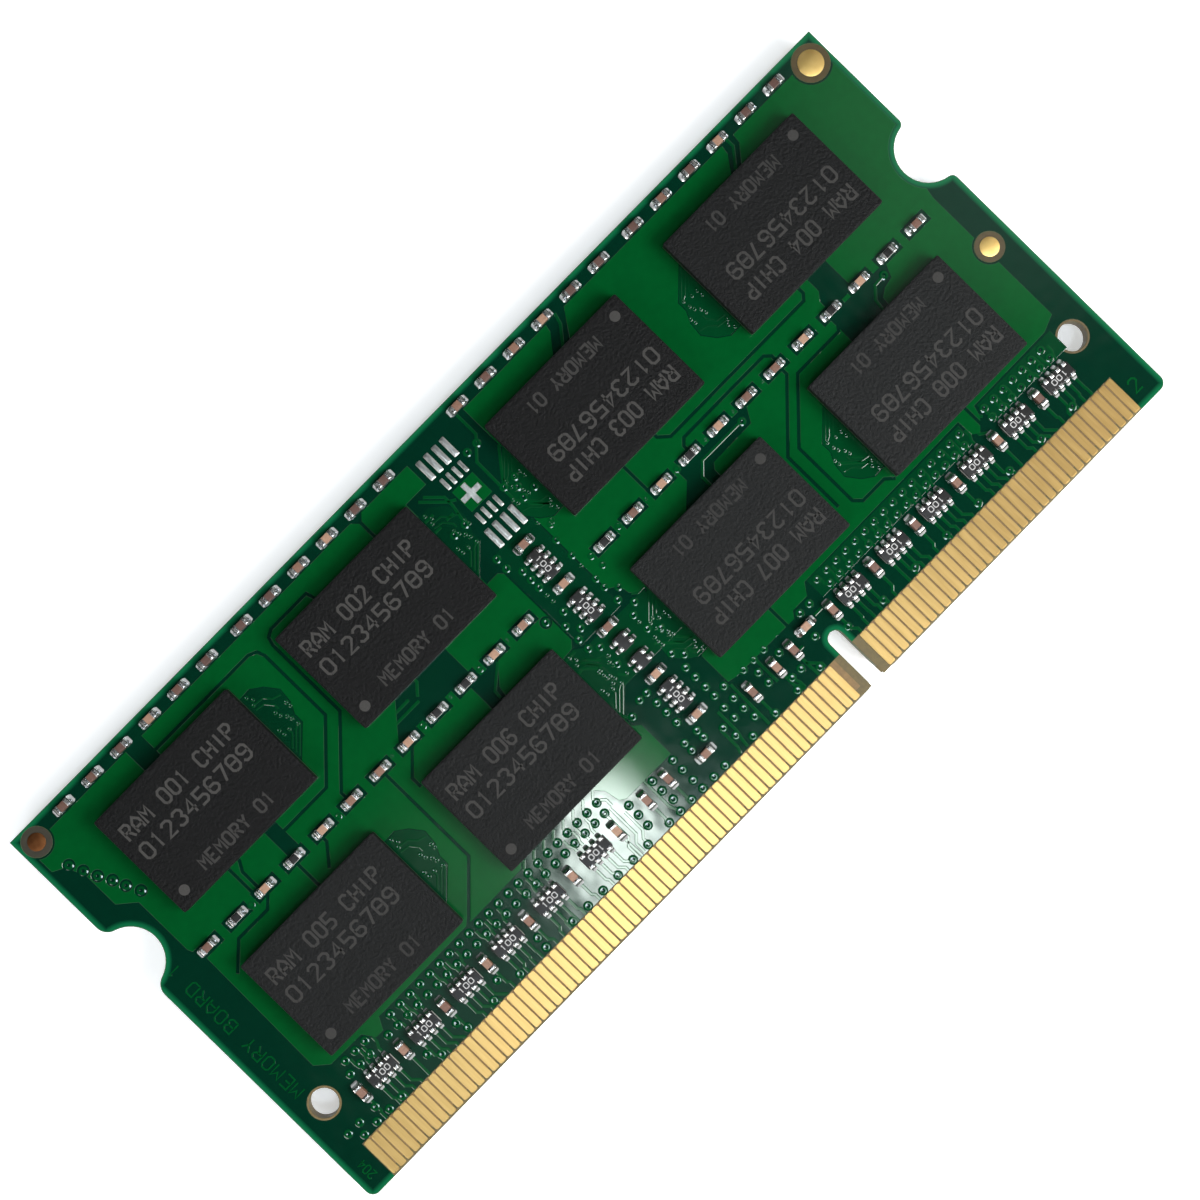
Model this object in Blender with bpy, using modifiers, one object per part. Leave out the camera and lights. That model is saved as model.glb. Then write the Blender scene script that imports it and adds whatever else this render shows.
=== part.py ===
"""Laptop memory module: a double-sided board with 204 edge contacts and sixteen chips.

The module lies flat, marked side up (+Z), with its contact edge towards -Y.
The origin is under its centre, in the plane of the lower chips' faces.
"""
import math

import bmesh
import bpy
from mathutils import Matrix, Vector

MM = 0.001

# ---- circuit board ------------------------------------------------------------
BOARD_LENGTH = 67.6 * MM
BOARD_WIDTH = 30.0 * MM
BOARD_THICKNESS = 1.0 * MM
CORNER_RADIUS = 0.55 * MM

KEY_CENTRE_X = 9.0 * MM
KEY_WIDTH = 1.0 * MM
KEY_DEPTH = 4.0 * MM
KEY_MOUTH_LEFT_RADIUS = 0.35 * MM
KEY_MOUTH_RIGHT_RADIUS = 0.9 * MM

LATCH_NOTCH_Y = 5.0 * MM
LATCH_NOTCH_RADIUS = 2.05 * MM
LATCH_MOUTH_LEFT_RADIUS = 0.9 * MM
LATCH_MOUTH_RIGHT_RADIUS = 0.4 * MM

HOLE_X = 31.8 * MM
HOLE_Y = -9.0 * MM
HOLE_RADIUS = 0.9 * MM
HOLE_SIDES = 32

# ---- edge contacts ------------------------------------------------------------
CONTACT_PITCH = 0.6 * MM
CONTACT_WIDTH = 0.45 * MM
CONTACT_LENGTH = 2.55 * MM
CONTACT_THICKNESS = 0.04 * MM
CONTACT_SETBACK = 0.12 * MM
FIRST_CONTACT_X = -31.65 * MM
LEFT_CONTACTS = 66
RIGHT_CONTACTS = 36
GAP_ACROSS_KEY = 3.0 * MM
CONTACT_BAR_WIDTH = 0.12 * MM

# ---- memory chips ----------------------------------------------------------------
CHIP_LENGTH = 11.0 * MM
CHIP_WIDTH = 7.5 * MM
MOULD_HEIGHT = 0.6 * MM
MOULD_EDGE_BREAK = 0.06 * MM
SUBSTRATE_HEIGHT = 0.24 * MM
BALL_HEIGHT = 0.25 * MM
CHIP_COLUMNS_X = (-23.8 * MM, -8.75 * MM, 8.8 * MM, 23.85 * MM)
CHIP_ROWS_Y = (8.43 * MM, -3.57 * MM)

BALL_PITCH = 0.8 * MM
BALL_DIAMETER = 0.45 * MM
BALLS_ALONG = 13
BALLS_ACROSS_BLOCK = 3
BALL_BLOCK_OFFSET = 3 * BALL_PITCH

DIE_BORDER = 1.3 * MM
DIE_THICKNESS = 0.2 * MM

# ---- settings memory on the underside ---------------------------------------------
EEPROM_LENGTH = 3.0 * MM
EEPROM_WIDTH = 2.0 * MM
EEPROM_HEIGHT = 0.75 * MM
EEPROM_Y = 9.5 * MM

# ---- small parts soldered in rows ---------------------------------------------------
CHIP_CAPACITOR = (1.0 * MM, 0.5 * MM, 0.5 * MM)
ARRAY_OF_FOUR = (2.0 * MM, 1.0 * MM, 0.4 * MM)
ARRAY_OF_TWO = (1.0 * MM, 1.0 * MM, 0.35 * MM)
TIE_WIDTH = 0.2 * MM
TIE_THICKNESS = 0.03 * MM
TIE_BITE = 0.1 * MM
TIE_SHARE = 0.6

EDGE_ROW_Y = 14.25 * MM
EDGE_ROW_PITCH = 2.4 * MM
EDGE_ROW_STARTS_X = (3.1 * MM, 18.0 * MM)
EDGE_ROW_COUNT = 6

MIDDLE_ROW_Y = 2.36 * MM
MIDDLE_ROW_START_X = 3.46 * MM
MIDDLE_ROW_PITCH = 2.41 * MM
MIDDLE_ROW_COUNT = 12

COLUMN_CAPACITORS_Y = (5.68 * MM, MIDDLE_ROW_Y, -1.3 * MM, -5.28 * MM, -8.67 * MM)
COLUMN_ARRAYS_OF_FOUR_Y = (4.04 * MM, 0.5 * MM, -6.98 * MM)
COLUMN_ARRAYS_OF_TWO_Y = (-2.55 * MM, -4.04 * MM)

LOWER_BAND_Y = -10.13 * MM
LOWER_PITCH = 3.52 * MM
LEFT_ARRAYS_START_X = -28.0 * MM
LEFT_ARRAYS_COUNT = 5
LEFT_LAST_ARRAY_X = -10.02 * MM
RIGHT_ARRAYS_START_X = 11.77 * MM
RIGHT_ARRAYS_COUNT = 6
LEFT_CAPACITORS_START_X = -29.76 * MM
LEFT_CAPACITORS_COUNT = 5
RIGHT_CAPACITORS_START_X = 10.07 * MM
RIGHT_CAPACITORS_COUNT = 6
LONE_CAPACITORS_X = (-12.0 * MM, -8.27 * MM, -5.73 * MM, -3.94 * MM, 3.24 * MM, 5.28 * MM, 6.73 * MM)
LYING_CAPACITORS = ((-1.3 * MM, -10.7 * MM), (8.22 * MM, -9.68 * MM))

# ---- clearance between pieces that touch ---------------------------------------------
SEAT_GAP = 0.01 * MM

CHIP_STACK = MOULD_HEIGHT + SEAT_GAP + SUBSTRATE_HEIGHT + BALL_HEIGHT + SEAT_GAP
BOARD_UNDERSIDE_Z = CHIP_STACK
BOARD_TOP_Z = BOARD_UNDERSIDE_Z + BOARD_THICKNESS

MODEL_NAME = "ram_module"


# ---- scene helpers -----------------------------------------------------------------
def clear_scene():
    """Remove every object, so the model starts from nothing."""
    for item in list(bpy.data.objects):
        bpy.data.objects.remove(item, do_unlink=True)


def new_collection(name):
    """Make a collection under the scene's own."""
    collection = bpy.data.collections.new(name)
    bpy.context.scene.collection.children.link(collection)
    return collection


def new_material(name, colour, roughness, metallic=0.0):
    """A Principled BSDF with one colour, roughness and metallic value."""
    material = bpy.data.materials.new(name)
    material.use_nodes = True
    shader = material.node_tree.nodes["Principled BSDF"]
    shader.inputs["Base Color"].default_value = (*colour, 1.0)
    shader.inputs["Roughness"].default_value = roughness
    shader.inputs["Metallic"].default_value = metallic
    material.diffuse_color = (*colour, 1.0)
    return material


def mesh_of_boxes(name, boxes):
    """One mesh of separate boxes, each given as its centre and its full size."""
    shape = bmesh.new()
    for centre, size in boxes:
        place = Matrix.Translation(Vector(centre)) @ Matrix.Diagonal((*size, 1.0))
        bmesh.ops.create_cube(shape, size=1.0, matrix=place)
    mesh = bpy.data.meshes.new(name)
    shape.to_mesh(mesh)
    shape.free()
    return mesh


def add_object(name, mesh, collection, material=None, location=(0.0, 0.0, 0.0), turned_over=False):
    """Place a mesh; a turned-over piece is rolled half a turn about Y, for the underside."""
    piece = bpy.data.objects.new(name, mesh)
    collection.objects.link(piece)
    piece.location = location
    if turned_over:
        piece.rotation_euler = (0.0, math.pi, 0.0)
    if material is not None and not mesh.materials:
        mesh.materials.append(material)
    return piece


def add_boolean(piece, tool, operation):
    """Join or cut a piece with a helper object, which itself is never shown."""
    step = piece.modifiers.new(tool.name, "BOOLEAN")
    step.operation = operation
    step.object = tool
    tool.hide_render = True
    tool.display_type = "WIRE"


# ---- circuit board ----------------------------------------------------------------
def arc(centre_x, centre_y, radius, start, end, steps):
    """Points along an arc, from one angle to another in degrees."""
    turns = [math.radians(start + (end - start) * step / steps) for step in range(steps + 1)]
    return [(centre_x + radius * math.cos(turn), centre_y + radius * math.sin(turn)) for turn in turns]


def latch_notch(edge_x, side, mouth_radius):
    """Half-round notch in a short edge, with rounded mouth corners, for side +1 or -1.

    The mouth's rounding circle touches the straight edge and the notch circle,
    so its centre is the two radii apart from the notch's centre.
    """
    reach = LATCH_NOTCH_RADIUS + mouth_radius
    rise = math.sqrt(reach ** 2 - mouth_radius ** 2)
    lean = math.degrees(math.atan2(rise, mouth_radius))
    inner_x = edge_x - side * mouth_radius
    facing = 0.0 if side > 0 else 180.0
    inward = 180.0 - facing
    first = arc(inner_x, LATCH_NOTCH_Y - side * rise, mouth_radius, facing, facing + lean, 6)
    hollow = arc(edge_x, LATCH_NOTCH_Y, LATCH_NOTCH_RADIUS, inward + lean, inward - lean, 18)
    last = arc(inner_x, LATCH_NOTCH_Y + side * rise, mouth_radius, facing - lean, facing, 6)
    return first + hollow[1:-1] + last


def board_outline():
    """The board's edge, counter-clockwise from its lower left corner."""
    right = BOARD_LENGTH / 2
    top = BOARD_WIDTH / 2
    bottom = -top
    key_left = KEY_CENTRE_X - KEY_WIDTH / 2
    key_right = KEY_CENTRE_X + KEY_WIDTH / 2
    key_crown_y = bottom + KEY_DEPTH - KEY_WIDTH / 2
    left_mouth = KEY_MOUTH_LEFT_RADIUS
    right_mouth = KEY_MOUTH_RIGHT_RADIUS
    points = arc(-right + CORNER_RADIUS, bottom + CORNER_RADIUS, CORNER_RADIUS, 180, 270, 6)
    points += arc(key_left - left_mouth, bottom + left_mouth, left_mouth, 270, 360, 5)
    points += arc(KEY_CENTRE_X, key_crown_y, KEY_WIDTH / 2, 180, 0, 10)
    points += arc(key_right + right_mouth, bottom + right_mouth, right_mouth, 180, 270, 8)
    points += arc(right - CORNER_RADIUS, bottom + CORNER_RADIUS, CORNER_RADIUS, 270, 360, 6)
    points += latch_notch(right, 1, LATCH_MOUTH_RIGHT_RADIUS)
    points += [(right, top), (-right, top)]
    points += latch_notch(-right, -1, LATCH_MOUTH_LEFT_RADIUS)
    return points


def curve_to_mesh(outline):
    """Turn a filled curve into a welded mesh object, and remove the curve."""
    bpy.context.view_layer.update()
    evaluated = outline.evaluated_get(bpy.context.evaluated_depsgraph_get())
    mesh = bpy.data.meshes.new_from_object(evaluated)
    shape = bmesh.new()
    shape.from_mesh(mesh)
    bmesh.ops.remove_doubles(shape, verts=shape.verts, dist=0.001 * MM)
    shape.to_mesh(mesh)
    shape.free()
    place = outline.matrix_world.copy()
    bpy.data.objects.remove(outline, do_unlink=True)
    return mesh, place


def make_board(collection, helpers, material):
    """The laminate: an extruded outline with two round holes drilled through it."""
    curve = bpy.data.curves.new("board_outline", "CURVE")
    curve.dimensions = "2D"
    curve.fill_mode = "BOTH"
    curve.extrude = BOARD_THICKNESS / 2
    outline_points = board_outline()
    spline = curve.splines.new("POLY")
    spline.points.add(len(outline_points) - 1)
    for point, (x, y) in zip(spline.points, outline_points):
        point.co = (x, y, 0.0, 1.0)
    spline.use_cyclic_u = True
    outline = bpy.data.objects.new("board_outline", curve)
    collection.objects.link(outline)
    outline.location.z = BOARD_UNDERSIDE_Z + BOARD_THICKNESS / 2
    mesh, place = curve_to_mesh(outline)
    board = add_object("circuit_board", mesh, collection, material)
    board.matrix_world = place
    for side in (-1, 1):
        bpy.ops.mesh.primitive_cylinder_add(
            vertices=HOLE_SIDES,
            radius=HOLE_RADIUS,
            depth=3 * BOARD_THICKNESS,
            location=(side * HOLE_X, HOLE_Y, BOARD_UNDERSIDE_Z + BOARD_THICKNESS / 2),
        )
        drill = bpy.context.object
        drill.name = "drill_left" if side < 0 else "drill_right"
        for owner in list(drill.users_collection):
            owner.objects.unlink(drill)
        helpers.objects.link(drill)
        add_boolean(board, drill, "DIFFERENCE")
    return board


# ---- edge contacts ------------------------------------------------------------------
def make_contact_row(name, count, first_x, top_side, collection, material):
    """One run of gold fingers as a comb, joined by a narrow bar along their inner ends.

    A grid has a column of cells for each finger and each gap. Its lines are moved to the
    fingers' sides, and the cells that would fill the gaps are deleted.
    """
    face = 1 if top_side else -1
    surface_z = BOARD_TOP_Z if top_side else BOARD_UNDERSIDE_Z
    outer_y = -BOARD_WIDTH / 2 + CONTACT_SETBACK
    lines_y = (outer_y, outer_y + CONTACT_LENGTH - CONTACT_BAR_WIDTH, outer_y + CONTACT_LENGTH)
    comb = bmesh.new()
    cells_x = 2 * count - 1
    bmesh.ops.create_grid(comb, x_segments=cells_x, y_segments=2, size=1.0)
    for corner in comb.verts:
        line_x = round((corner.co.x + 1) / 2 * cells_x)
        line_y = round(corner.co.y + 1)
        side = 1 if line_x % 2 else -1
        corner.co.x = first_x + line_x // 2 * CONTACT_PITCH + side * CONTACT_WIDTH / 2
        corner.co.y = lines_y[line_y]
    gaps = [cell for cell in comb.faces if is_gap_cell(cell, first_x, lines_y[1])]
    bmesh.ops.delete(comb, geom=gaps, context="FACES")
    mesh = bpy.data.meshes.new(name)
    comb.to_mesh(mesh)
    comb.free()
    middle_z = surface_z + face * (SEAT_GAP + CONTACT_THICKNESS / 2)
    row = add_object(name, mesh, collection, material, (0.0, 0.0, middle_z))
    plating = row.modifiers.new("plating", "SOLIDIFY")
    plating.thickness = CONTACT_THICKNESS
    plating.offset = 0.0
    return row


def is_gap_cell(cell, first_x, bar_y):
    """True for a grid cell between two fingers, below the bar that joins them."""
    middle = cell.calc_center_median()
    step = (middle.x - first_x) / CONTACT_PITCH
    return middle.y < bar_y and abs(step - round(step)) > CONTACT_WIDTH / 2 / CONTACT_PITCH


# ---- memory chips --------------------------------------------------------------------
def mould_mesh():
    """Moulded cap, seen from its own top (+Z), with a pocket underneath for the die."""
    shape = bmesh.new()
    bmesh.ops.create_cube(
        shape, size=1.0, matrix=Matrix.Diagonal((CHIP_LENGTH, CHIP_WIDTH, MOULD_HEIGHT, 1.0))
    )
    shape.faces.ensure_lookup_table()
    top_edges = [edge for edge in shape.edges if all(vert.co.z > 0 for vert in edge.verts)]
    bmesh.ops.bevel(shape, geom=top_edges, offset=MOULD_EDGE_BREAK, segments=1, affect="EDGES")
    underside = min(shape.faces, key=lambda face: face.calc_center_median().z)
    bmesh.ops.inset_region(shape, faces=[underside], thickness=DIE_BORDER - SEAT_GAP)
    pocket = bmesh.ops.extrude_discrete_faces(shape, faces=[underside])["faces"][0]
    bmesh.ops.translate(shape, verts=pocket.verts, vec=(0.0, 0.0, DIE_THICKNESS + 2 * SEAT_GAP))
    bmesh.ops.recalc_face_normals(shape, faces=shape.faces)
    mesh = bpy.data.meshes.new("chip_mould")
    shape.to_mesh(mesh)
    shape.free()
    return mesh


def substrate_mesh(helpers):
    """Thin laminate under the chip, with its two fields of solder balls as two low blocks."""
    slab = ((0.0, 0.0, 0.0), (CHIP_LENGTH, CHIP_WIDTH, SUBSTRATE_HEIGHT))
    block_size = (
        (BALLS_ALONG - 1) * BALL_PITCH + BALL_DIAMETER,
        (BALLS_ACROSS_BLOCK - 1) * BALL_PITCH + BALL_DIAMETER,
        BALL_HEIGHT + SUBSTRATE_HEIGHT / 2,
    )
    block_z = -block_size[2] / 2
    blocks = [((0.0, side * BALL_BLOCK_OFFSET, block_z), block_size) for side in (-1, 1)]
    base = add_object("substrate_slab", mesh_of_boxes("substrate_slab", [slab]), helpers)
    add_boolean(base, add_object("ball_blocks", mesh_of_boxes("ball_blocks", blocks), helpers), "UNION")
    base.hide_render = True
    bpy.context.view_layer.update()
    evaluated = base.evaluated_get(bpy.context.evaluated_depsgraph_get())
    mesh = bpy.data.meshes.new_from_object(evaluated)
    mesh.name = "chip_substrate"
    return mesh


def make_chips(collection, helpers, materials):
    """Eight chips on each side: moulded cap, die and substrate, each its own piece."""
    mould = mould_mesh()
    substrate = substrate_mesh(helpers)
    die_size = (CHIP_LENGTH - 2 * DIE_BORDER, CHIP_WIDTH - 2 * DIE_BORDER, DIE_THICKNESS)
    die = mesh_of_boxes("silicon_die", [((0.0, 0.0, 0.0), die_size)])
    substrate_rise = SEAT_GAP + BALL_HEIGHT + SUBSTRATE_HEIGHT / 2
    joint_rise = SEAT_GAP + BALL_HEIGHT + SUBSTRATE_HEIGHT
    die_rise = joint_rise + 2 * SEAT_GAP + DIE_THICKNESS / 2
    mould_rise = joint_rise + SEAT_GAP + MOULD_HEIGHT / 2
    pieces = (
        ("chip_mould", mould, mould_rise, materials["mould"]),
        ("chip_substrate", substrate, substrate_rise, materials["substrate"]),
        ("silicon_die", die, die_rise, materials["silicon"]),
    )
    for side_name, face, surface_z in (("front", 1, BOARD_TOP_Z), ("back", -1, BOARD_UNDERSIDE_Z)):
        places = [(x, y) for y in CHIP_ROWS_Y for x in CHIP_COLUMNS_X]
        for number, (x, y) in enumerate(places, start=1):
            for kind, mesh, rise, material in pieces:
                name = f"{kind}_{side_name}_{number}"
                spot = (x, y, surface_z + face * rise)
                add_object(name, mesh, collection, material, spot, turned_over=face < 0)


def make_eeprom(collection, material):
    """The small settings memory, soldered on the underside."""
    body_z = BOARD_UNDERSIDE_Z - SEAT_GAP - EEPROM_HEIGHT / 2
    mesh = mesh_of_boxes("eeprom_back", [((0.0, 0.0, 0.0), (EEPROM_LENGTH, EEPROM_WIDTH, EEPROM_HEIGHT))])
    eeprom = add_object("eeprom_back", mesh, collection, material, (0.0, EEPROM_Y, body_z))
    rounding = eeprom.modifiers.new("edge_break", "BEVEL")
    rounding.width = MOULD_EDGE_BREAK
    rounding.segments = 1
    return eeprom


# ---- small parts -------------------------------------------------------------------------
def edge_row():
    """Capacitors along the long free edge: four runs, mirrored about the middle."""
    starts = [start + step * EDGE_ROW_PITCH for start in EDGE_ROW_STARTS_X for step in range(EDGE_ROW_COUNT)]
    return [(side * x, EDGE_ROW_Y, CHIP_CAPACITOR, False) for side in (-1, 1) for x in starts]


def middle_row():
    """The row between the two chip rows; the middle column's own capacitor lies in it too."""
    places = [MIDDLE_ROW_START_X + step * MIDDLE_ROW_PITCH for step in range(MIDDLE_ROW_COUNT)]
    row = [(side * x, MIDDLE_ROW_Y, CHIP_CAPACITOR, False) for side in (-1, 1) for x in places]
    return row + [(0.0, MIDDLE_ROW_Y, CHIP_CAPACITOR, False)]


def middle_column():
    """The column of capacitors and resistor arrays down the middle of the board."""
    column = [(0.0, y, CHIP_CAPACITOR, False) for y in COLUMN_CAPACITORS_Y]
    column += [(0.0, y, ARRAY_OF_FOUR, True) for y in COLUMN_ARRAYS_OF_FOUR_Y]
    column += [(0.0, y, ARRAY_OF_TWO, True) for y in COLUMN_ARRAYS_OF_TWO_Y]
    return column


def lower_band():
    """Resistor arrays and upright capacitors between the chips and the edge contacts."""
    arrays = [LEFT_ARRAYS_START_X + step * LOWER_PITCH for step in range(LEFT_ARRAYS_COUNT)]
    arrays.append(LEFT_LAST_ARRAY_X)
    arrays += [RIGHT_ARRAYS_START_X + step * LOWER_PITCH for step in range(RIGHT_ARRAYS_COUNT)]
    upright = [LEFT_CAPACITORS_START_X + step * LOWER_PITCH for step in range(LEFT_CAPACITORS_COUNT)]
    upright += list(LONE_CAPACITORS_X)
    upright += [RIGHT_CAPACITORS_START_X + step * LOWER_PITCH for step in range(RIGHT_CAPACITORS_COUNT)]
    band = [(x, LOWER_BAND_Y, ARRAY_OF_FOUR, False) for x in arrays]
    band += [(x, LOWER_BAND_Y, CHIP_CAPACITOR, True) for x in upright]
    band += [(x, y, CHIP_CAPACITOR, False) for x, y in LYING_CAPACITORS]
    return band


def plan_size(part):
    """Footprint of a small part along X and Y, after any quarter turn."""
    length, width, _ = part[2]
    return (width, length) if part[3] else (length, width)


def tie_between(first, second, along_x):
    """Footprint of the tie that joins two neighbours: it runs a little way into each.

    It lies in the middle of the stretch that both parts cover across the row.
    """
    along, across = (0, 1) if along_x else (1, 0)
    first_size = plan_size(first)
    second_size = plan_size(second)
    start = first[along] + first_size[along] / 2 - TIE_BITE
    end = second[along] - second_size[along] / 2 + TIE_BITE
    low = max(first[across] - first_size[across] / 2, second[across] - second_size[across] / 2)
    high = min(first[across] + first_size[across] / 2, second[across] + second_size[across] / 2)
    width = min(TIE_WIDTH, TIE_SHARE * (high - low))
    centre = [0.0, 0.0]
    size = [0.0, 0.0]
    centre[along] = (start + end) / 2
    centre[across] = (low + high) / 2
    size[along] = end - start
    size[across] = width
    return centre, size


def make_row(name, lines, top_side, collection, helpers, material):
    """Rows of small parts as one piece: neighbours in each line are joined by thin ties."""
    face = 1 if top_side else -1
    surface_z = BOARD_TOP_Z if top_side else BOARD_UNDERSIDE_Z
    parts = {part[:2]: part for line, _ in lines for part in line}
    boxes = []
    for part in parts.values():
        height = part[2][2]
        boxes.append(((*part[:2], surface_z + face * (SEAT_GAP + height / 2)), (*plan_size(part), height)))
    tie_z = surface_z + face * (2 * SEAT_GAP + TIE_THICKNESS / 2)
    ties = []
    for line, along_x in lines:
        in_order = sorted(line, key=lambda part: part[0 if along_x else 1])
        for first, second in zip(in_order, in_order[1:]):
            centre, size = tie_between(first, second, along_x)
            ties.append(((*centre, tie_z), (*size, TIE_THICKNESS)))
    row = add_object(name, mesh_of_boxes(name, boxes), collection, material)
    tie_object = add_object(name + "_ties", mesh_of_boxes(name + "_ties", ties), helpers)
    add_boolean(row, tie_object, "UNION")
    return row


def make_small_parts(collection, helpers, materials):
    """Three rows of small parts on each side of the board."""
    rows = (
        ("edge_capacitors", [(edge_row(), True)], materials["capacitor"]),
        ("middle_passives", [(middle_row(), True), (middle_column(), False)], materials["capacitor"]),
        ("lower_resistor_arrays", [(lower_band(), True)], materials["resistor"]),
    )
    for side_name, top_side in (("front", True), ("back", False)):
        for kind, lines, material in rows:
            make_row(f"{kind}_{side_name}", lines, top_side, collection, helpers, material)


# ---- the whole module ----------------------------------------------------------------------
def main():
    clear_scene()
    model = new_collection(MODEL_NAME)
    helpers = new_collection(MODEL_NAME + "_helpers")
    materials = {
        "board": new_material("green_laminate", (0.01, 0.16, 0.07), 0.35),
        "gold": new_material("gold_plating", (0.85, 0.62, 0.28), 0.25, 1.0),
        "mould": new_material("black_mould_compound", (0.035, 0.035, 0.037), 0.6),
        "substrate": new_material("chip_laminate", (0.03, 0.09, 0.05), 0.5),
        "silicon": new_material("silicon", (0.25, 0.26, 0.28), 0.2, 0.8),
        "capacitor": new_material("ceramic_tan", (0.35, 0.2, 0.13), 0.5),
        "resistor": new_material("resistor_black", (0.03, 0.03, 0.03), 0.4),
    }
    make_board(model, helpers, materials["board"])
    right_start_x = FIRST_CONTACT_X + (LEFT_CONTACTS - 1) * CONTACT_PITCH + GAP_ACROSS_KEY
    for side_name, top_side in (("front", True), ("back", False)):
        for end_name, count, first_x in (
            ("left", LEFT_CONTACTS, FIRST_CONTACT_X),
            ("right", RIGHT_CONTACTS, right_start_x),
        ):
            row_name = f"contacts_{side_name}_{end_name}"
            make_contact_row(row_name, count, first_x, top_side, model, materials["gold"])
    make_chips(model, helpers, materials)
    make_eeprom(model, materials["mould"])
    make_small_parts(model, helpers, materials)


main()
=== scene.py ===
# %% [markdown]
# # Finishing a laptop memory module
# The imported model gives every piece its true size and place. This lesson dresses it for
# close viewing: etched copper under a green lacquer, gold contacts, moulded chips on
# solder balls, and hundreds of tiny soldered parts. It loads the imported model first.

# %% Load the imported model
import math

import bpy
import numpy as np
from mathutils import Matrix, Vector, geometry


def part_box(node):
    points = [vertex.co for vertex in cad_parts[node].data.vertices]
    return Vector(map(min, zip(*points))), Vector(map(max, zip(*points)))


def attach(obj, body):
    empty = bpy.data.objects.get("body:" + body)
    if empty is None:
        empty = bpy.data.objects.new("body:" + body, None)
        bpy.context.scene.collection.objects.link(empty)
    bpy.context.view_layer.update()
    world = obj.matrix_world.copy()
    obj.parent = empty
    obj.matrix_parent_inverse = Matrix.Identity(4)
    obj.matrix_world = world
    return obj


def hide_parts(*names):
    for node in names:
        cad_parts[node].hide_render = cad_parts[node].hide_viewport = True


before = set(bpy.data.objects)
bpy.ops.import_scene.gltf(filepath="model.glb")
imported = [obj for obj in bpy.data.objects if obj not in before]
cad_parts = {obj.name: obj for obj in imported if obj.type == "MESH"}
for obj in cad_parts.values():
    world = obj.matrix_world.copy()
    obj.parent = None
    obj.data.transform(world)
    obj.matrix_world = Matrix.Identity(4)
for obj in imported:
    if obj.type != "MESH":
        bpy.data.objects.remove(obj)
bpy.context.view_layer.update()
print("pieces in the packed model:", len(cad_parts))

# %% [markdown]
# ## Measures
# A board designer measures from the board's lower left corner, in millimetres, and
# heights from the face that a part stands on. Every layout here does the same, and two
# small helpers carry a finished layout to the front face or to the back face.

# %% Measures of the board
MM = 0.001


def corners_of(node):
    """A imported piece's lowest and highest corner, in millimetres."""
    low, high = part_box(node)
    return np.array(low) / MM, np.array(high) / MM


BOARD_LOW, BOARD_HIGH = corners_of("circuit_board")
LENGTH, WIDTH, THICKNESS = BOARD_HIGH - BOARD_LOW
FRONT_CORNER = np.array([BOARD_LOW[0], BOARD_LOW[1], BOARD_HIGH[2]])
BACK_CORNER = BOARD_LOW
print(f"board {LENGTH:.1f} x {WIDTH:.1f} x {THICKNESS:.1f} mm")


# %% [markdown]
# ## Shapes as arrays
# A shape is an array of points, a few arrays of faces, and one number for each point,
# its tone, that the finishes read. Blender could repeat parts with instances or an Array
# modifier, but adding whole arrays is quicker to run and keeps each piece one plain mesh.

# %% A shape, and ways to repeat and join shapes
class Shape:
    """Points in mm, faces as arrays with one row of point numbers a face, and a tone a point."""

    def __init__(self, points, faces, tone=0.0):
        """Keep all three as arrays; a single tone is spread over every point."""
        self.points = np.asarray(points, float).reshape(-1, 3)
        self.faces = [np.asarray(block, int) for block in faces]
        self.tone = np.broadcast_to(np.asarray(tone, float), len(self.points))


def together(shapes):
    """One shape from several: each one's point numbers grow by the points before it."""
    starts = np.cumsum([0] + [len(shape.points) for shape in shapes])
    faces = [block + start for shape, start in zip(shapes, starts) for block in shape.faces]
    points = np.concatenate([shape.points for shape in shapes])
    return Shape(points, faces, np.concatenate([shape.tone for shape in shapes]))


def copies(shape, places, turns=0.0, tones=None):
    """The shape again at each place (x, y, z), first turned about Z by its own angle.

    A turned point is (x cos a - y sin a, x sin a + y cos a, z).
    """
    places = np.asarray(places, float).reshape(-1, 3)
    turns = np.broadcast_to(turns, len(places))[:, None]
    x, y, z = shape.points.T
    turned_x = x * np.cos(turns) - y * np.sin(turns)
    turned_y = x * np.sin(turns) + y * np.cos(turns)
    points = np.stack([turned_x, turned_y, np.broadcast_to(z, turned_x.shape)], axis=-1)
    points = points + places[:, None, :]
    raised = (np.arange(len(places)) * len(x))[:, None, None]
    faces = [(block[None] + raised).reshape(-1, block.shape[1]) for block in shape.faces]
    tone = np.tile(shape.tone, len(places)) if tones is None else np.repeat(tones, len(x))
    return Shape(points, faces, tone)


def rolled(shape):
    """The shape rolled half a turn about its own Y axis: (x, y, z) becomes (-x, y, -z)."""
    return Shape(shape.points * (-1, 1, -1), shape.faces, shape.tone)


def on_front(shape):
    """A layout carried to the board's front face."""
    return Shape(shape.points + FRONT_CORNER, shape.faces, shape.tone)


def on_back(shape):
    """A layout mirrored to the back face, with each face's corners in reverse order."""
    flipped = [block[:, ::-1] for block in shape.faces]
    return Shape(shape.points * (1, 1, -1) + BACK_CORNER, flipped, shape.tone)


BOARD_FACES = (("front", on_front), ("back", on_back))
print("faces of the board:", [side for side, _ in BOARD_FACES])
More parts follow.
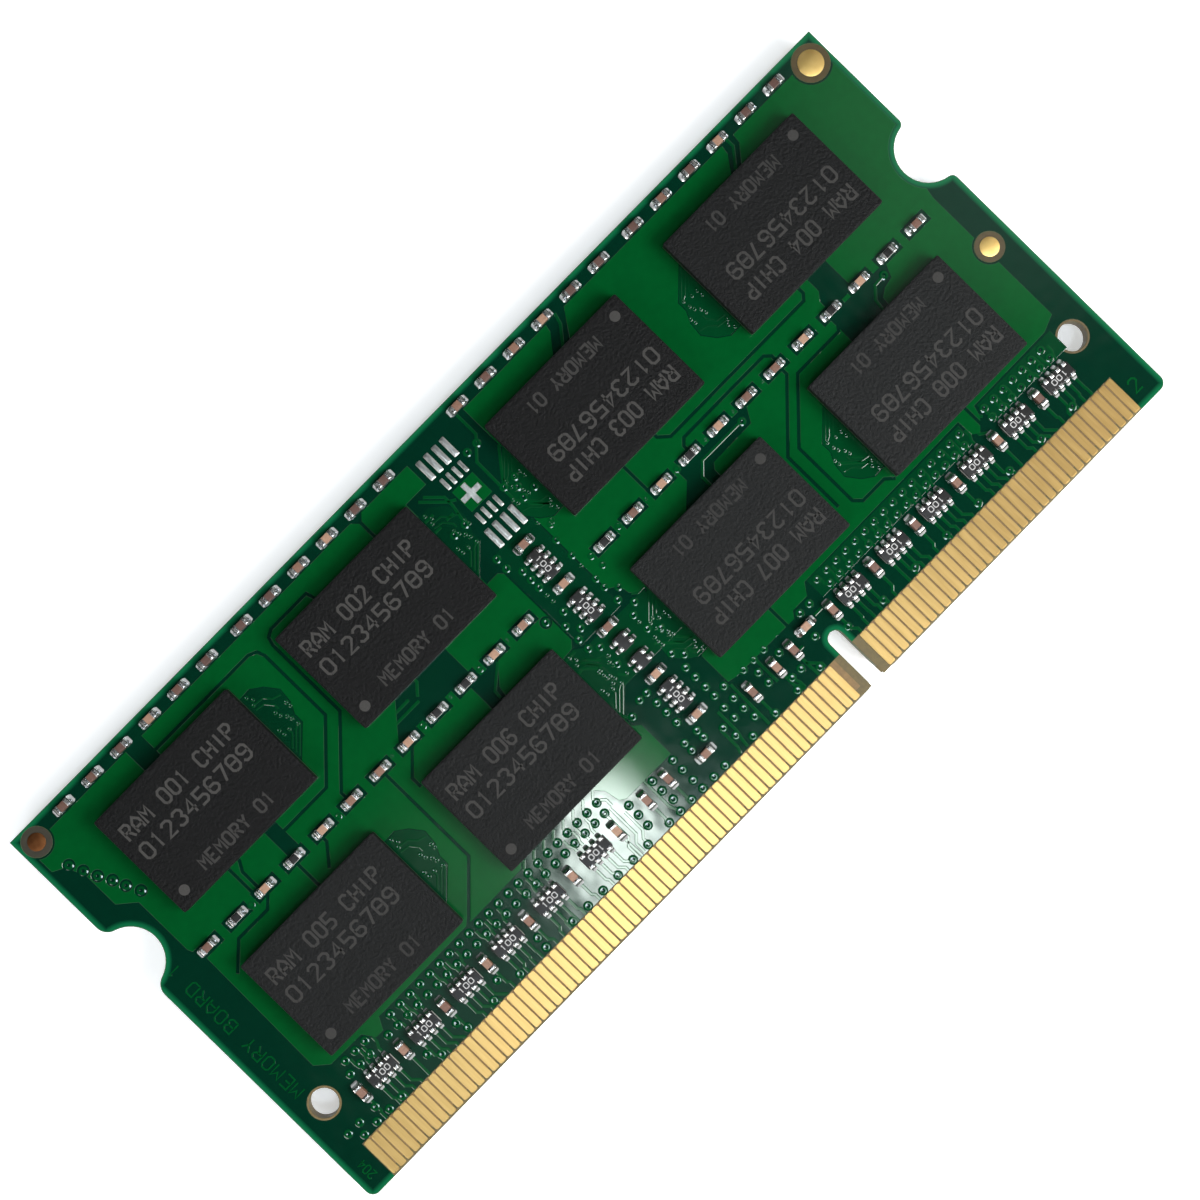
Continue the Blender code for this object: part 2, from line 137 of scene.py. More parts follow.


# %% [markdown]
# ## From a shape to a piece
# Every finished piece goes through one function, so that each is a plain mesh at the
# origin, rides with the board and carries its finish.

# %% Put a shape into the scene
def add_piece(name, shape, finish, replaces=(), sharp_degrees=30.0):
    """Fill a mesh with foreach_set, shade it smooth up to an angle, and let it ride."""
    mesh = bpy.data.meshes.new(name)
    sizes = np.concatenate([np.full(len(block), block.shape[1]) for block in shape.faces])
    corners = np.concatenate([block.ravel() for block in shape.faces])
    mesh.vertices.add(len(shape.points))
    mesh.vertices.foreach_set("co", (shape.points * MM).ravel())
    mesh.loops.add(len(corners))
    mesh.loops.foreach_set("vertex_index", corners)
    mesh.polygons.add(len(sizes))
    mesh.polygons.foreach_set("loop_start", np.cumsum(sizes) - sizes)
    mesh.update(calc_edges=True)
    mesh.validate()
    mesh.attributes.new("tone", "FLOAT", "POINT").data.foreach_set("value", shape.tone)
    mesh.shade_smooth()
    mesh.set_sharp_from_angle(angle=math.radians(sharp_degrees))
    mesh.materials.append(finish)
    piece = bpy.data.objects.new(name, mesh)
    bpy.context.scene.collection.objects.link(piece)
    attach(piece, "root")
    if replaces:
        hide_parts(*replaces)
    print(f"{name}: {len(sizes)} faces")
    return piece


# %% [markdown]
# ## The three ways shapes are made
# A loft joins a stack of loops, a ribbon carries a low profile along a path, and an
# etched sheet is a flat outline with other outlines taken out of it. Almost every piece
# of the module is one of these, because printed boards are made by flat processes.

# %% Lofts, rounded rectangles and turned shapes
def loft(loops, tone=0.0):
    """Quads between neighbouring loops, with the first and the last loop closed by a cap.

    Loops run counter-clockwise seen from where the stack is heading, so faces point out.
    """
    loops = np.asarray(loops, float)
    rows, around = loops.shape[:2]
    index = np.arange(rows * around).reshape(rows, around)
    following = np.roll(index, -1, axis=1)
    quads = np.stack([index[:-1], following[:-1], following[1:], index[1:]], axis=-1)
    return Shape(loops, [quads.reshape(-1, 4), index[:1, ::-1], index[-1:]], tone)


SHARPEST_CORNER = 0.01


def rounded_rectangle(length, width, radius, steps=3):
    """Four quarter circles, each round the centre that its corner's radius gives."""
    angles = np.linspace(0, np.pi / 2, steps + 1)[None, :] + np.arange(4)[:, None] * np.pi / 2
    signs = np.array([(1, 1), (-1, 1), (-1, -1), (1, -1)])
    centres = signs * (length / 2 - radius, width / 2 - radius)
    ring = centres[:, None, :] + radius * np.stack([np.cos(angles), np.sin(angles)], axis=-1)
    return ring.reshape(-1, 2)


def stacked_block(length, width, radius, profile, steps=3):
    """A loft of rounded rectangles: each step of the profile is (pulled in by, height)."""
    loops = []
    for inset, height in profile:
        corner = max(radius - inset, SHARPEST_CORNER)
        ring = rounded_rectangle(length - 2 * inset, width - 2 * inset, corner, steps)
        loops.append(np.column_stack([ring, np.full(len(ring), height)]))
    return loft(loops)


def turned(profile, sides):
    """A loft of circles: each step of the profile is (radius, height)."""
    angles = np.arange(sides) * 2 * np.pi / sides
    radii, heights = np.array(profile, float).T
    x = radii[:, None] * np.cos(angles)
    y = radii[:, None] * np.sin(angles)
    return loft(np.stack([x, y, np.broadcast_to(heights[:, None], x.shape)], axis=-1))


print("points in a small plain block:", len(stacked_block(1.0, 0.5, 0.05, ((0.0, 0.0), (0.0, 1.0))).points))


# %% Ribbons along a path
def mitres(path):
    """At each point of a path, the sideways step that keeps a ribbon's width round bends.

    With unit normals a and b of the runs before and after, it is (a + b) / (1 + a.b).
    """
    runs = np.diff(path, axis=0)
    runs = runs / np.linalg.norm(runs, axis=1, keepdims=True)
    normals = np.column_stack([-runs[:, 1], runs[:, 0]])
    before = np.concatenate([normals[:1], normals])
    after = np.concatenate([normals, normals[-1:]])
    share = 1 + np.sum(before * after, axis=1, keepdims=True)
    return (before + after) / np.maximum(share, 0.5)


def ribbon(path, width, height, base=0.0, slope=0.0, tone=0.0):
    """A flat bar along a path, with sides that lean in by the slope."""
    path = np.asarray(path, float)
    sideways = mitres(path)
    section = [(-width / 2, base), (width / 2, base)]
    section += [(width / 2 - slope, base + height), (slope - width / 2, base + height)]
    loops = [
        np.column_stack([path + sideways * across, np.full(len(path), rise)])
        for across, rise in section
    ]
    return loft(np.stack(loops, axis=1), tone)


def ribbon_outline(path, width):
    """The outline of a ribbon seen from above: along its left side, back along its right."""
    path = np.asarray(path, float)
    sideways = mitres(path) * width / 2
    return np.concatenate([path + sideways, (path - sideways)[::-1]])


print("points in a ribbon with one bend:", len(ribbon([(0, 0), (1, 0), (1, 1)], 0.2, 0.02).points))


# %% Etched sheets
def counter_clockwise(outline):
    """The outline turned so that its area, half the sum of x1 y2 - x2 y1, is positive."""
    outline = np.asarray(outline, float)[:, :2]
    x, y = outline.T
    area = np.sum(x * np.roll(y, -1) - np.roll(x, -1) * y) / 2
    return outline if area > 0 else outline[::-1]


def etched_sheet(keep, cut, base, height, slope, tone=0.0, foot_tone=None):
    """The area inside the kept outlines and outside the cut ones, as a low closed plate.

    Delaunay triangulation splits the plane along every outline and says which outlines
    each triangle lies in. An edge that only one kept triangle uses is the plate's rim;
    a rim point's top moves in by 2 s / |s|^2, where s adds the two rim edges' normals.
    """
    outlines = [counter_clockwise(outline) for outline in [*keep, *cut]]
    starts = np.cumsum([0] + [len(outline) for outline in outlines])
    rings = [list(range(start, end)) for start, end in zip(starts[:-1], starts[1:])]
    corners = [Vector(point) for point in np.concatenate(outlines)]
    flat, _, triangles, _, _, owners = geometry.delaunay_2d_cdt(corners, [], rings, 1, 1e-6)
    flat = np.array([tuple(point) for point in flat])
    inside = [
        triangle
        for triangle, owner in zip(triangles, owners)
        if owner and max(owner) < len(keep)
    ]
    used, numbers = np.unique(np.array(inside), return_inverse=True)
    flat = flat[used]
    faces = numbers.reshape(-1, 3)
    a, b, c = flat[faces[:, 0]], flat[faces[:, 1]], flat[faces[:, 2]]
    area = (b[:, 0] - a[:, 0]) * (c[:, 1] - a[:, 1]) - (b[:, 1] - a[:, 1]) * (c[:, 0] - a[:, 0])
    faces[area < 0] = faces[area < 0][:, ::-1]
    edges = np.concatenate([faces[:, [0, 1]], faces[:, [1, 2]], faces[:, [2, 0]]])
    total = len(flat)
    rim = edges[~np.isin(edges[:, 0] * total + edges[:, 1], edges[:, 1] * total + edges[:, 0])]
    runs = flat[rim[:, 1]] - flat[rim[:, 0]]
    runs = runs / np.linalg.norm(runs, axis=1, keepdims=True)
    outward = np.column_stack([runs[:, 1], -runs[:, 0]])
    pull = np.zeros_like(flat)
    np.add.at(pull, rim[:, 0], outward)
    np.add.at(pull, rim[:, 1], outward)
    pull = 2 * pull / np.maximum(np.sum(pull ** 2, axis=1, keepdims=True), 1.0)
    foot = np.column_stack([flat, np.full(total, base)])
    top = np.column_stack([flat - pull * slope, np.full(total, base + height)])
    walls = np.column_stack([rim, rim[:, ::-1] + total])
    tones = np.repeat([tone if foot_tone is None else foot_tone, tone], total)
    return Shape(np.concatenate([foot, top]), [faces[:, ::-1], faces + total, walls], tones)


square = [(0, 0), (1, 0), (1, 1), (0, 1)]
print("points in a square sheet:", len(etched_sheet([square], [], 0.0, 0.02, 0.02).points))


# %% [markdown]
# ## Building finishes from nodes
# Each finish is a Principled shader fed by a few nodes that read Object coordinates,
# so grain and mottling keep their size on every piece. One helper adds a node and
# connects it, which keeps each finish down to the lines that matter.

# %% Node helpers
def add_node(tree, kind, inputs=None, **settings):
    """Add a shader node, set its options, and set or link its inputs by name or number."""
    node = tree.nodes.new(kind)
    for option, value in settings.items():
        setattr(node, option, value)
    for key, value in (inputs or {}).items():
        if isinstance(value, bpy.types.NodeSocket):
            tree.links.new(value, node.inputs[key])
        else:
            node.inputs[key].default_value = value
    return node


def maths(tree, operation, *values):
    """The result of a Math node."""
    inputs = dict(enumerate(values))
    return add_node(tree, "ShaderNodeMath", inputs, operation=operation).outputs[0]


def place_on_piece(tree):
    """Object coordinates, in metres."""
    return add_node(tree, "ShaderNodeTexCoord").outputs["Object"]


def tone_of_piece(tree):
    """The tone that each point of the piece carries."""
    return add_node(tree, "ShaderNodeAttribute", attribute_name="tone").outputs["Fac"]


print("readers: place_on_piece gives metres, tone_of_piece gives a number a point")


# %% Noise, blends and bumps
def noise(tree, grain, detail=2.0, roughness=0.5, stretch=(1.0, 1.0, 1.0)):
    """Noise from 0 to 1 whose spots are about one grain across, in millimetres."""
    spread = add_node(tree, "ShaderNodeMapping", {"Vector": place_on_piece(tree), "Scale": stretch})
    spots = {"Vector": spread.outputs[0], "Scale": 1 / (grain * MM)}
    spots.update({"Detail": detail, "Roughness": roughness})
    return add_node(tree, "ShaderNodeTexNoise", spots).outputs["Fac"]


def between(tree, share, low, high):
    """A number that runs from low to high as the share runs from 0 to 1."""
    limits = {"Value": share, "To Min": low, "To Max": high}
    return add_node(tree, "ShaderNodeMapRange", limits).outputs[0]


def blended(tree, share, first, second, way="MIX"):
    """A colour between two colours, or their product when the way is MULTIPLY."""
    inputs = {"Factor": share, 6: first, 7: second}
    return add_node(tree, "ShaderNodeMix", inputs, data_type="RGBA", blend_type=way).outputs[2]


def ramp(tree, value, stops):
    """A colour ramp with the given (position, colour) stops."""
    node = add_node(tree, "ShaderNodeValToRGB", {"Fac": value})
    elements = node.color_ramp.elements
    while len(elements) < len(stops):
        elements.new(1.0)
    for element, (position, colour) in zip(elements, stops):
        element.position = position
        element.color = (*colour, 1.0)
    return node.outputs["Color"]


def bump(tree, height, depth):
    """A normal that leans as if the height were that many millimetres deep."""
    inputs = {"Height": height, "Distance": depth * MM, "Strength": 1.0}
    return add_node(tree, "ShaderNodeBump", inputs).outputs[0]


print("makers of colour and relief: noise, between, blended, ramp, bump")


# %% A new finish, and what feeds it
def new_finish(name, metallic=0.0, ior=1.5, specular=0.5):
    """A material with its node tree and its Principled shader."""
    material = bpy.data.materials.new(name)
    material.use_nodes = True
    tree = material.node_tree
    shader = tree.nodes["Principled BSDF"]
    shader.inputs["Metallic"].default_value = metallic
    shader.inputs["IOR"].default_value = ior
    shader.inputs["Specular IOR Level"].default_value = specular
    return material, tree, shader


def feed(tree, shader, colour=None, roughness=None, normal=None):
    """Link what a finish has worked out to the shader."""
    for key, socket in (("Base Color", colour), ("Roughness", roughness), ("Normal", normal)):
        if socket is not None:
            tree.links.new(socket, shader.inputs[key])


print("a finish starts from new_finish and ends with feed")


# %% [markdown]
# ## Camera, floor and light
# The module is seen from straight above with its length running up to the right. It lies
# on a plain pale floor. One broad soft light leans in from the contact edge and gives the
# chips their short shadows, and a weaker one fills in from the left. Glossy lacquer shows
# whatever stands above it, so the sky is dark overhead and has a few round bright patches,
# each where the lacquer mirrors it. A lamp could make the same sheen, but a patch in the
# sky keeps a soft edge and is easy to aim.

# %% Camera above the board
LENS_MM = 60.0
SENSOR_MM = 36.0
CAMERA_PLACE = Vector((-1.73, 0.35, BOARD_HIGH[2] + 118.7)) * MM
CAMERA_AIM = Vector((0.81, 0.14, BOARD_HIGH[2])) * MM
PICTURE_TURN = math.radians(-45.594)

camera_data = bpy.data.cameras.new("camera")
camera_data.lens = LENS_MM
camera_data.sensor_width = SENSOR_MM
camera_data.clip_start = 0.005
camera_data.clip_end = 10.0
camera = bpy.data.objects.new("camera", camera_data)
bpy.context.scene.collection.objects.link(camera)
backwards = (CAMERA_PLACE - CAMERA_AIM).normalized()
rightwards = Vector((math.cos(PICTURE_TURN), math.sin(PICTURE_TURN), 0.0))
rightwards = (rightwards - rightwards.dot(backwards) * backwards).normalized()
upwards = backwards.cross(rightwards)
turn = Matrix((rightwards, upwards, backwards)).transposed().to_4x4()
camera.matrix_world = Matrix.Translation(CAMERA_PLACE) @ turn
bpy.context.scene.camera = camera
bpy.context.scene.view_settings.view_transform = "Standard"
print(f"camera {(CAMERA_PLACE - CAMERA_AIM).length / MM:.1f} mm from its aim")

# %% Pale floor
FLOOR_Z = -0.03
FLOOR_SIZE = 3000.0

floor_finish, tree, shader = new_finish("pale_floor")
floor_colour = blended(tree, noise(tree, 40.0), (0.86, 0.86, 0.86, 1), (0.9, 0.9, 0.9, 1))
feed(tree, shader, colour=floor_colour)
shader.inputs["Roughness"].default_value = 0.9
shader.inputs["Emission Color"].default_value = (1, 1, 1, 1)
shader.inputs["Emission Strength"].default_value = 0.45
bpy.ops.mesh.primitive_plane_add(size=FLOOR_SIZE * MM, location=(0, 0, FLOOR_Z * MM))
floor = bpy.context.object
floor.name = "floor"
floor.data.materials.append(floor_finish)
print("floor under the chips at", FLOOR_Z, "mm")


# %% Soft lights
def add_soft_light(name, place, aim, size, power):
    """A square or oblong area light at a place in mm, facing another."""
    data = bpy.data.lights.new(name, "AREA")
    data.shape = "RECTANGLE"
    data.size, data.size_y = size[0] * MM, size[1] * MM
    data.energy = power
    lamp = bpy.data.objects.new(name, data)
    lamp.location = Vector(place) * MM
    lamp.rotation_euler = (Vector(place) - Vector(aim)).to_track_quat("Z", "Y").to_euler()
    bpy.context.scene.collection.objects.link(lamp)


add_soft_light("window_light", (75, -135, 145), (0, 0, 0), (140, 100), 0.56)
add_soft_light("side_light", (-220, -60, 200), (0, 0, 0), (120, 120), 0.25)
print("lights:", len(bpy.data.lights))

# %% Surroundings: pale all round, dark overhead, with soft bright patches
surroundings = bpy.data.worlds.new("surroundings")
bpy.context.scene.world = surroundings
surroundings.use_nodes = True
sky = surroundings.node_tree
direction = add_node(sky, "ShaderNodeTexCoord").outputs["Generated"]
DARKEST = (-0.12, 0.26, 0.958)


def closeness(towards):
    """How near the looked-at direction is to another: their dot product."""
    inputs = {0: direction, 1: towards}
    return add_node(sky, "ShaderNodeVectorMath", inputs, operation="DOT_PRODUCT").outputs["Value"]


def patch(towards, outer, inner, strength):
    """A round patch of light that fades from its inner circle to its outer one."""
    limits = {"Value": closeness(towards), "From Min": outer, "From Max": inner, "To Max": strength}
    return add_node(sky, "ShaderNodeMapRange", limits, interpolation_type="SMOOTHERSTEP").outputs[0]


SKY_STOPS = (
    (0.0, (0.95, 0.96, 0.97)),
    (0.5, (0.78, 0.8, 0.81)),
    (0.76, (0.16, 0.165, 0.17)),
    (0.9, (0.01, 0.0105, 0.011)),
)
PALE_GREEN = (0.88, 1.0, 0.94)
SKY_BLUE = (0.88, 1.0, 1.16)
# one row a patch: direction, outer and inner edge as a closeness, strength, tint
PATCHES = (
    ((-0.0512, -0.0721, 0.9961), 0.99973, 1.0, 31.0, PALE_GREEN),
    ((-0.0610, -0.0990, 0.9932), 0.9993, 0.99995, 31.0, PALE_GREEN),
    ((-0.041, -0.2247, 0.973), 0.991, 1.0, 28.0, SKY_BLUE),
    ((-0.1335, -0.1009, 0.9859), 0.9925, 1.0, 0.5, PALE_GREEN),
    ((0.325, 0.03, 0.945), 0.989, 1.0, 0.6, PALE_GREEN),
)
sky_light = ramp(sky, closeness(DARKEST), SKY_STOPS)
for *spot, tint in PATCHES:
    glow = add_node(sky, "ShaderNodeVectorMath", {0: tint, "Scale": patch(*spot)}, operation="SCALE")
    inputs = {0: sky_light, 1: glow.outputs[0]}
    sky_light = add_node(sky, "ShaderNodeVectorMath", inputs, operation="ADD").outputs[0]
sky.links.new(sky_light, sky.nodes["Background"].inputs["Color"])
sky.nodes["Background"].inputs["Strength"].default_value = 0.8
print("bright patches in the sky:", len(PATCHES))

# %% [markdown]
# ## The finishes
# The lacquer is a thin green glaze: where copper lies under it, it looks lighter. Along the cut
# edges light comes through the laminate, and that glow is painted into the lacquer's colour as a
# brighter green rim. The tone that a point carries says what lies under it: 1 copper, 0 laminate,
# -1 a hole, painted dark as the shade inside it.

# %% Distance from the board's outline
NOTCH_UP = 20.0
NOTCH_RADIUS = 2.05
KEY_X = LENGTH / 2 + 9.0
KEY_HALF_WIDTH = 0.5
KEY_DEPTH = 4.0


def distance_to_edge(tree):
    """Distance in mm from the board's outline: the least of four simple distances.

    They are to the short sides, to the long sides, to the notch circles (the distance to
    the circle's centre less its radius) and to the key, which is a capsule.
    """
    split = add_node(tree, "ShaderNodeSeparateXYZ", {0: place_on_piece(tree)})
    x = maths(tree, "MULTIPLY", split.outputs[0], 1 / MM)
    y = maths(tree, "MULTIPLY", split.outputs[1], 1 / MM)
    from_side = maths(tree, "SUBTRACT", LENGTH / 2, maths(tree, "ABSOLUTE", x))
    from_long_side = maths(tree, "SUBTRACT", WIDTH / 2, maths(tree, "ABSOLUTE", y))
    above_notch = maths(tree, "SUBTRACT", y, BOARD_LOW[1] + NOTCH_UP)
    notch_reach = maths(tree, "SQRT", squares(tree, from_side, above_notch))
    from_notch = maths(tree, "SUBTRACT", notch_reach, NOTCH_RADIUS)
    beside_key = maths(tree, "SUBTRACT", x, BOARD_LOW[0] + KEY_X)
    crown = BOARD_LOW[1] + KEY_DEPTH - KEY_HALF_WIDTH
    above_key = maths(tree, "MAXIMUM", maths(tree, "SUBTRACT", y, crown), 0.0)
    key_reach = maths(tree, "SQRT", squares(tree, beside_key, above_key))
    from_key = maths(tree, "SUBTRACT", key_reach, KEY_HALF_WIDTH)
    sides = maths(tree, "MINIMUM", from_side, from_long_side)
    return maths(tree, "MINIMUM", sides, maths(tree, "MINIMUM", from_notch, from_key))


def squares(tree, first, second):
    """The sum of two squares."""
    first_square = maths(tree, "MULTIPLY", first, first)
    return maths(tree, "ADD", first_square, maths(tree, "MULTIPLY", second, second))


print(f"key {KEY_X:.1f} mm from the left end, notches {NOTCH_UP:.0f} mm up")

# %% Green lacquer
# the lowest stop, for a hole, is painted shade: the dark inside a hole under the lacquer
GREENS = (
    (0.0, (0.0003, 0.004, 0.002)),
    (0.5, (0.0004, 0.021, 0.0105)),
    (1.0, (0.0004, 0.066, 0.0125)),
)
# painted light: a brighter green near the outline stands in for light coming through the laminate's edge
PAINTED_GLOW_GREEN = (0.005, 0.14, 0.05, 1)
PAINTED_GLOW_STRENGTH = 0.75
RIM_FROM, RIM_TO = 0.12, 0.45
RIPPLE_DEPTH = 0.005


def make_lacquer():
    """Green by tone with a painted glow along the rim, and a ripple that is strongest over bare laminate.

    The tone from -1 to 1 becomes a place from 0 to 1 on the ramp. The ripple's height is
    a slow noise times (1.05 - tone), never under 0.05, plus a little fine noise.
    """
    material, tree, shader = new_finish("green_lacquer", ior=1.5)
    drift = between(tree, noise(tree, 6.0), -0.12, 0.12)
    tone = maths(tree, "ADD", tone_of_piece(tree), drift)
    green = ramp(tree, maths(tree, "MULTIPLY", maths(tree, "ADD", tone, 1.0), 0.5), GREENS)
    mottle = between(tree, noise(tree, 0.5, 4.0), 0.88, 1.12)
    green = blended(tree, 1.0, green, mottle, "MULTIPLY")
    # painted glow: the brighter green is mixed in near the board's outline
    limits = {"Value": distance_to_edge(tree), "From Min": RIM_FROM, "From Max": RIM_TO}
    limits.update({"To Min": 1.0, "To Max": 0.0})
    rim = add_node(tree, "ShaderNodeMapRange", limits, interpolation_type="SMOOTHSTEP").outputs[0]
    green = blended(tree, maths(tree, "MULTIPLY", rim, PAINTED_GLOW_STRENGTH), green, PAINTED_GLOW_GREEN)
    over_laminate = maths(tree, "SUBTRACT", 1.05, tone_of_piece(tree))
    over_laminate = maths(tree, "MAXIMUM", over_laminate, 0.05)
    ripple = maths(tree, "MULTIPLY", noise(tree, 0.9, 0.0), over_laminate)
    grain = maths(tree, "MULTIPLY", noise(tree, 0.08, 2.0), 0.02)
    ripple = maths(tree, "ADD", ripple, grain)
    gloss = between(tree, noise(tree, 1.5), 0.05, 0.09)
    feed(tree, shader, green, gloss, bump(tree, ripple, RIPPLE_DEPTH))
    return material


LACQUER = make_lacquer()
print("nodes in the lacquer:", len(LACQUER.node_tree.nodes))


# %% Metals: gold, solder and tinned terminals
def make_metal(name, dark, light, grain, rough, dent, stretch=(1, 1, 1)):
    """A metal whose colour, roughness and surface vary with noise of one grain size."""
    material, tree, shader = new_finish(name, metallic=1.0)
    spots = noise(tree, grain, 3.0, stretch=stretch)
    colour = blended(tree, spots, (*dark, 1), (*light, 1))
    feed(tree, shader, colour, between(tree, spots, *rough), bump(tree, spots, dent))
    return material


GOLD = make_metal(
    "hard_gold", (0.40, 0.245, 0.078), (0.53, 0.35, 0.13), 0.5, (0.27, 0.35), 0.001, (4, 0.3, 1)
)
FLASH_GOLD = make_metal(
    "thin_gold", (0.92, 0.58, 0.17), (1.0, 0.70, 0.26), 0.4, (0.3, 0.45), 0.002
)
SOLDER = make_metal(
    "solder", (0.55, 0.55, 0.54), (0.80, 0.81, 0.82), 0.3, (0.16, 0.3), 0.003
)
PAD_TIN = make_metal(
    "levelled_tin", (0.2, 0.2, 0.19), (0.78, 0.78, 0.74), 0.22, (0.28, 0.5), 0.008, (1, 0.45, 1)
)
TIN = make_metal(
    "tinned_terminal", (0.40, 0.38, 0.36), (0.66, 0.64, 0.61), 0.2, (0.2, 0.34), 0.002
)
BROWN_COPPER = make_metal(
    "oxidised_copper", (0.10, 0.035, 0.012), (0.22, 0.085, 0.03), 0.3, (0.3, 0.5), 0.004
)
METALS = (GOLD, FLASH_GOLD, SOLDER, PAD_TIN, TIN, BROWN_COPPER)
print("metals:", [metal.name for metal in METALS])


# %% Moulded plastic, laminate, ceramics and the rest
def make_plain(name, stops, grain, rough, dent, stretch=(1, 1, 1), specular=0.5):
    """A finish whose colour follows the tone and is speckled by noise of one grain size."""
    material, tree, shader = new_finish(name, specular=specular)
    spots = noise(tree, grain, 4.0, 0.65, stretch)
    colour = ramp(tree, tone_of_piece(tree), stops)
    colour = blended(tree, 1.0, colour, between(tree, spots, 0.55, 1.45), "MULTIPLY")
    feed(tree, shader, colour, between(tree, spots, *rough), bump(tree, spots, dent))
    return material


# the mould's tone is painted light: chips where more light falls get a lighter mould
MOULD = make_plain(
    "chip_mould", ((0.0, (0.003, 0.003, 0.003)), (1.0, (0.0085, 0.009, 0.0088))),
    0.2, (0.34, 0.56), 0.12, specular=0.15,
)
ETCH = make_plain(
    "laser_etch", ((0.0, (0.008, 0.0079, 0.0076)), (1.0, (0.046, 0.0435, 0.04))),
    0.09, (0.6, 0.8), 0.006, specular=0.3,
)
SUBSTRATE = make_plain(
    "chip_laminate", ((0.0, (0.02, 0.045, 0.02)), (1.0, (0.05, 0.08, 0.03))),
    0.2, (0.4, 0.6), 0.004,
)
LAMINATE_STOPS = (
    (0.0, (0.105, 0.075, 0.02)),
    (0.35, (0.19, 0.11, 0.034)),
    (0.7, (0.06, 0.04, 0.011)),
    (1.0, (0.022, 0.017, 0.006)),
)
LAMINATE = make_plain("bare_laminate", LAMINATE_STOPS, 0.25, (0.35, 0.6), 0.008)
BOARD_EDGE = make_plain(
    "board_edge", ((0.0, (0.065, 0.09, 0.03)), (1.0, (0.065, 0.09, 0.03))),
    0.3, (0.5, 0.7), 0.01, stretch=(1, 1, 6),
)
CERAMIC_STOPS = (
    (0.0, (0.06, 0.028, 0.022)),
    (0.5, (0.17, 0.082, 0.052)),
    (1.0, (0.40, 0.235, 0.15)),
)
CERAMIC = make_plain("capacitor_ceramic", CERAMIC_STOPS, 0.12, (0.35, 0.55), 0.004)
ALUMINA = make_plain(
    "alumina", ((0.0, (0.62, 0.60, 0.57)), (1.0, (0.7, 0.68, 0.65))),
    0.1, (0.4, 0.6), 0.003,
)
GLASS = make_plain(
    "black_glass_coat", ((0.0, (0.010, 0.009, 0.008)), (1.0, (0.013, 0.012, 0.011))),
    0.2, (0.3, 0.45), 0.003, specular=0.3,
)
PRINT = make_plain(
    "white_print", ((0.0, (0.42, 0.41, 0.40)), (1.0, (0.5, 0.5, 0.5))),
    0.08, (0.5, 0.7), 0.002,
)
SILICON = make_plain(
    "silicon", ((0.0, (0.05, 0.055, 0.07)), (1.0, (0.08, 0.08, 0.1))),
    0.8, (0.1, 0.2), 0.0005,
)
print("finishes:", len(bpy.data.materials))


# %% [markdown]
# ## The board
# The laminate itself stays as packed. A board house prints lacquer on both faces, with
# openings for contacts, holes and marks. Two flat sheets with those openings taken out
# do the same, and the rounding of the real edge is left to their sloped sides.

# %% The board's outline
def arc(centre, radius, start, end, steps):
    """Points on a circle between two angles in degrees: centre + radius (cos a, sin a)."""
    angles = np.radians(np.linspace(start, end, steps + 1))
    return np.asarray(centre) + radius * np.column_stack([np.cos(angles), np.sin(angles)])


CORNER_RADIUS = 0.55
KEY_MOUTH_RADII = (0.35, 0.9)
NOTCH_MOUTH_RADII = (0.9, 0.4)


def latch_notch(edge_x, side, mouth, inset):
    """The half-round notch in a short side, with its rounded mouth, for side -1 or +1.

    The mouth's circle touches both the straight side and the notch's circle, so its
    centre is the sum of the two radii away from the notch's centre.
    """
    reach = NOTCH_RADIUS + mouth
    rise = math.sqrt(reach ** 2 - mouth ** 2)
    lean = math.degrees(math.atan2(rise, mouth))
    facing = 0.0 if side > 0 else 180.0
    x = edge_x - side * mouth
    rounding = max(mouth - inset, 0.02)
    first = arc((x, NOTCH_UP - side * rise), rounding, facing, facing + lean, 6)
    hollow = arc((edge_x, NOTCH_UP), NOTCH_RADIUS + inset, 180 - facing + lean, 180 - facing - lean, 24)
    last = arc((x, NOTCH_UP + side * rise), rounding, facing - lean, facing, 6)
    return np.concatenate([first, hollow, last])


def board_outline(inset):
    """The board's edge pulled in by an inset, counter-clockwise from the lower left."""
    r = CORNER_RADIUS
    left, right = KEY_X - KEY_HALF_WIDTH, KEY_X + KEY_HALF_WIDTH
    left_mouth, right_mouth = KEY_MOUTH_RADII
    crown = KEY_DEPTH - KEY_HALF_WIDTH
    left_notch_mouth, right_notch_mouth = NOTCH_MOUTH_RADII
    return np.concatenate([
        arc((r, r), r - inset, 180, 270, 6),
        arc((left - left_mouth, left_mouth), left_mouth - inset, 270, 360, 6),
        arc((KEY_X, crown), KEY_HALF_WIDTH + inset, 180, 0, 16),
        arc((right + right_mouth, right_mouth), right_mouth - inset, 180, 270, 8),
        arc((LENGTH - r, r), r - inset, 270, 360, 6),
        latch_notch(LENGTH, 1, right_notch_mouth, inset),
        [(LENGTH - inset, WIDTH - inset), (inset, WIDTH - inset)],
        latch_notch(0.0, -1, left_notch_mouth, inset),
    ])


print("outline points:", len(board_outline(0.0)))


# %% Discs and rectangles
def disc(centre, radius, steps=28):
    """A circle's outline."""
    return arc(centre, radius, 0, 360 - 360 / steps, steps - 1)


def rectangle(low, high):
    """An upright rectangle's outline between two corners."""
    return [(low[0], low[1]), (high[0], low[1]), (high[0], high[1]), (low[0], high[1])]


print("outline points of a disc:", len(disc((0.0, 0.0), 1.0)))

# %% Lacquer sheets with their openings
LACQUER_THICKNESS = 0.02
HOLE_REACH = 31.8
HOLE_PLACES = ((LENGTH / 2 - HOLE_REACH, 6.0), (LENGTH / 2 + HOLE_REACH, 6.0))
HOLE_RADIUS = 0.9
HOLE_RING_RADIUS = 1.04
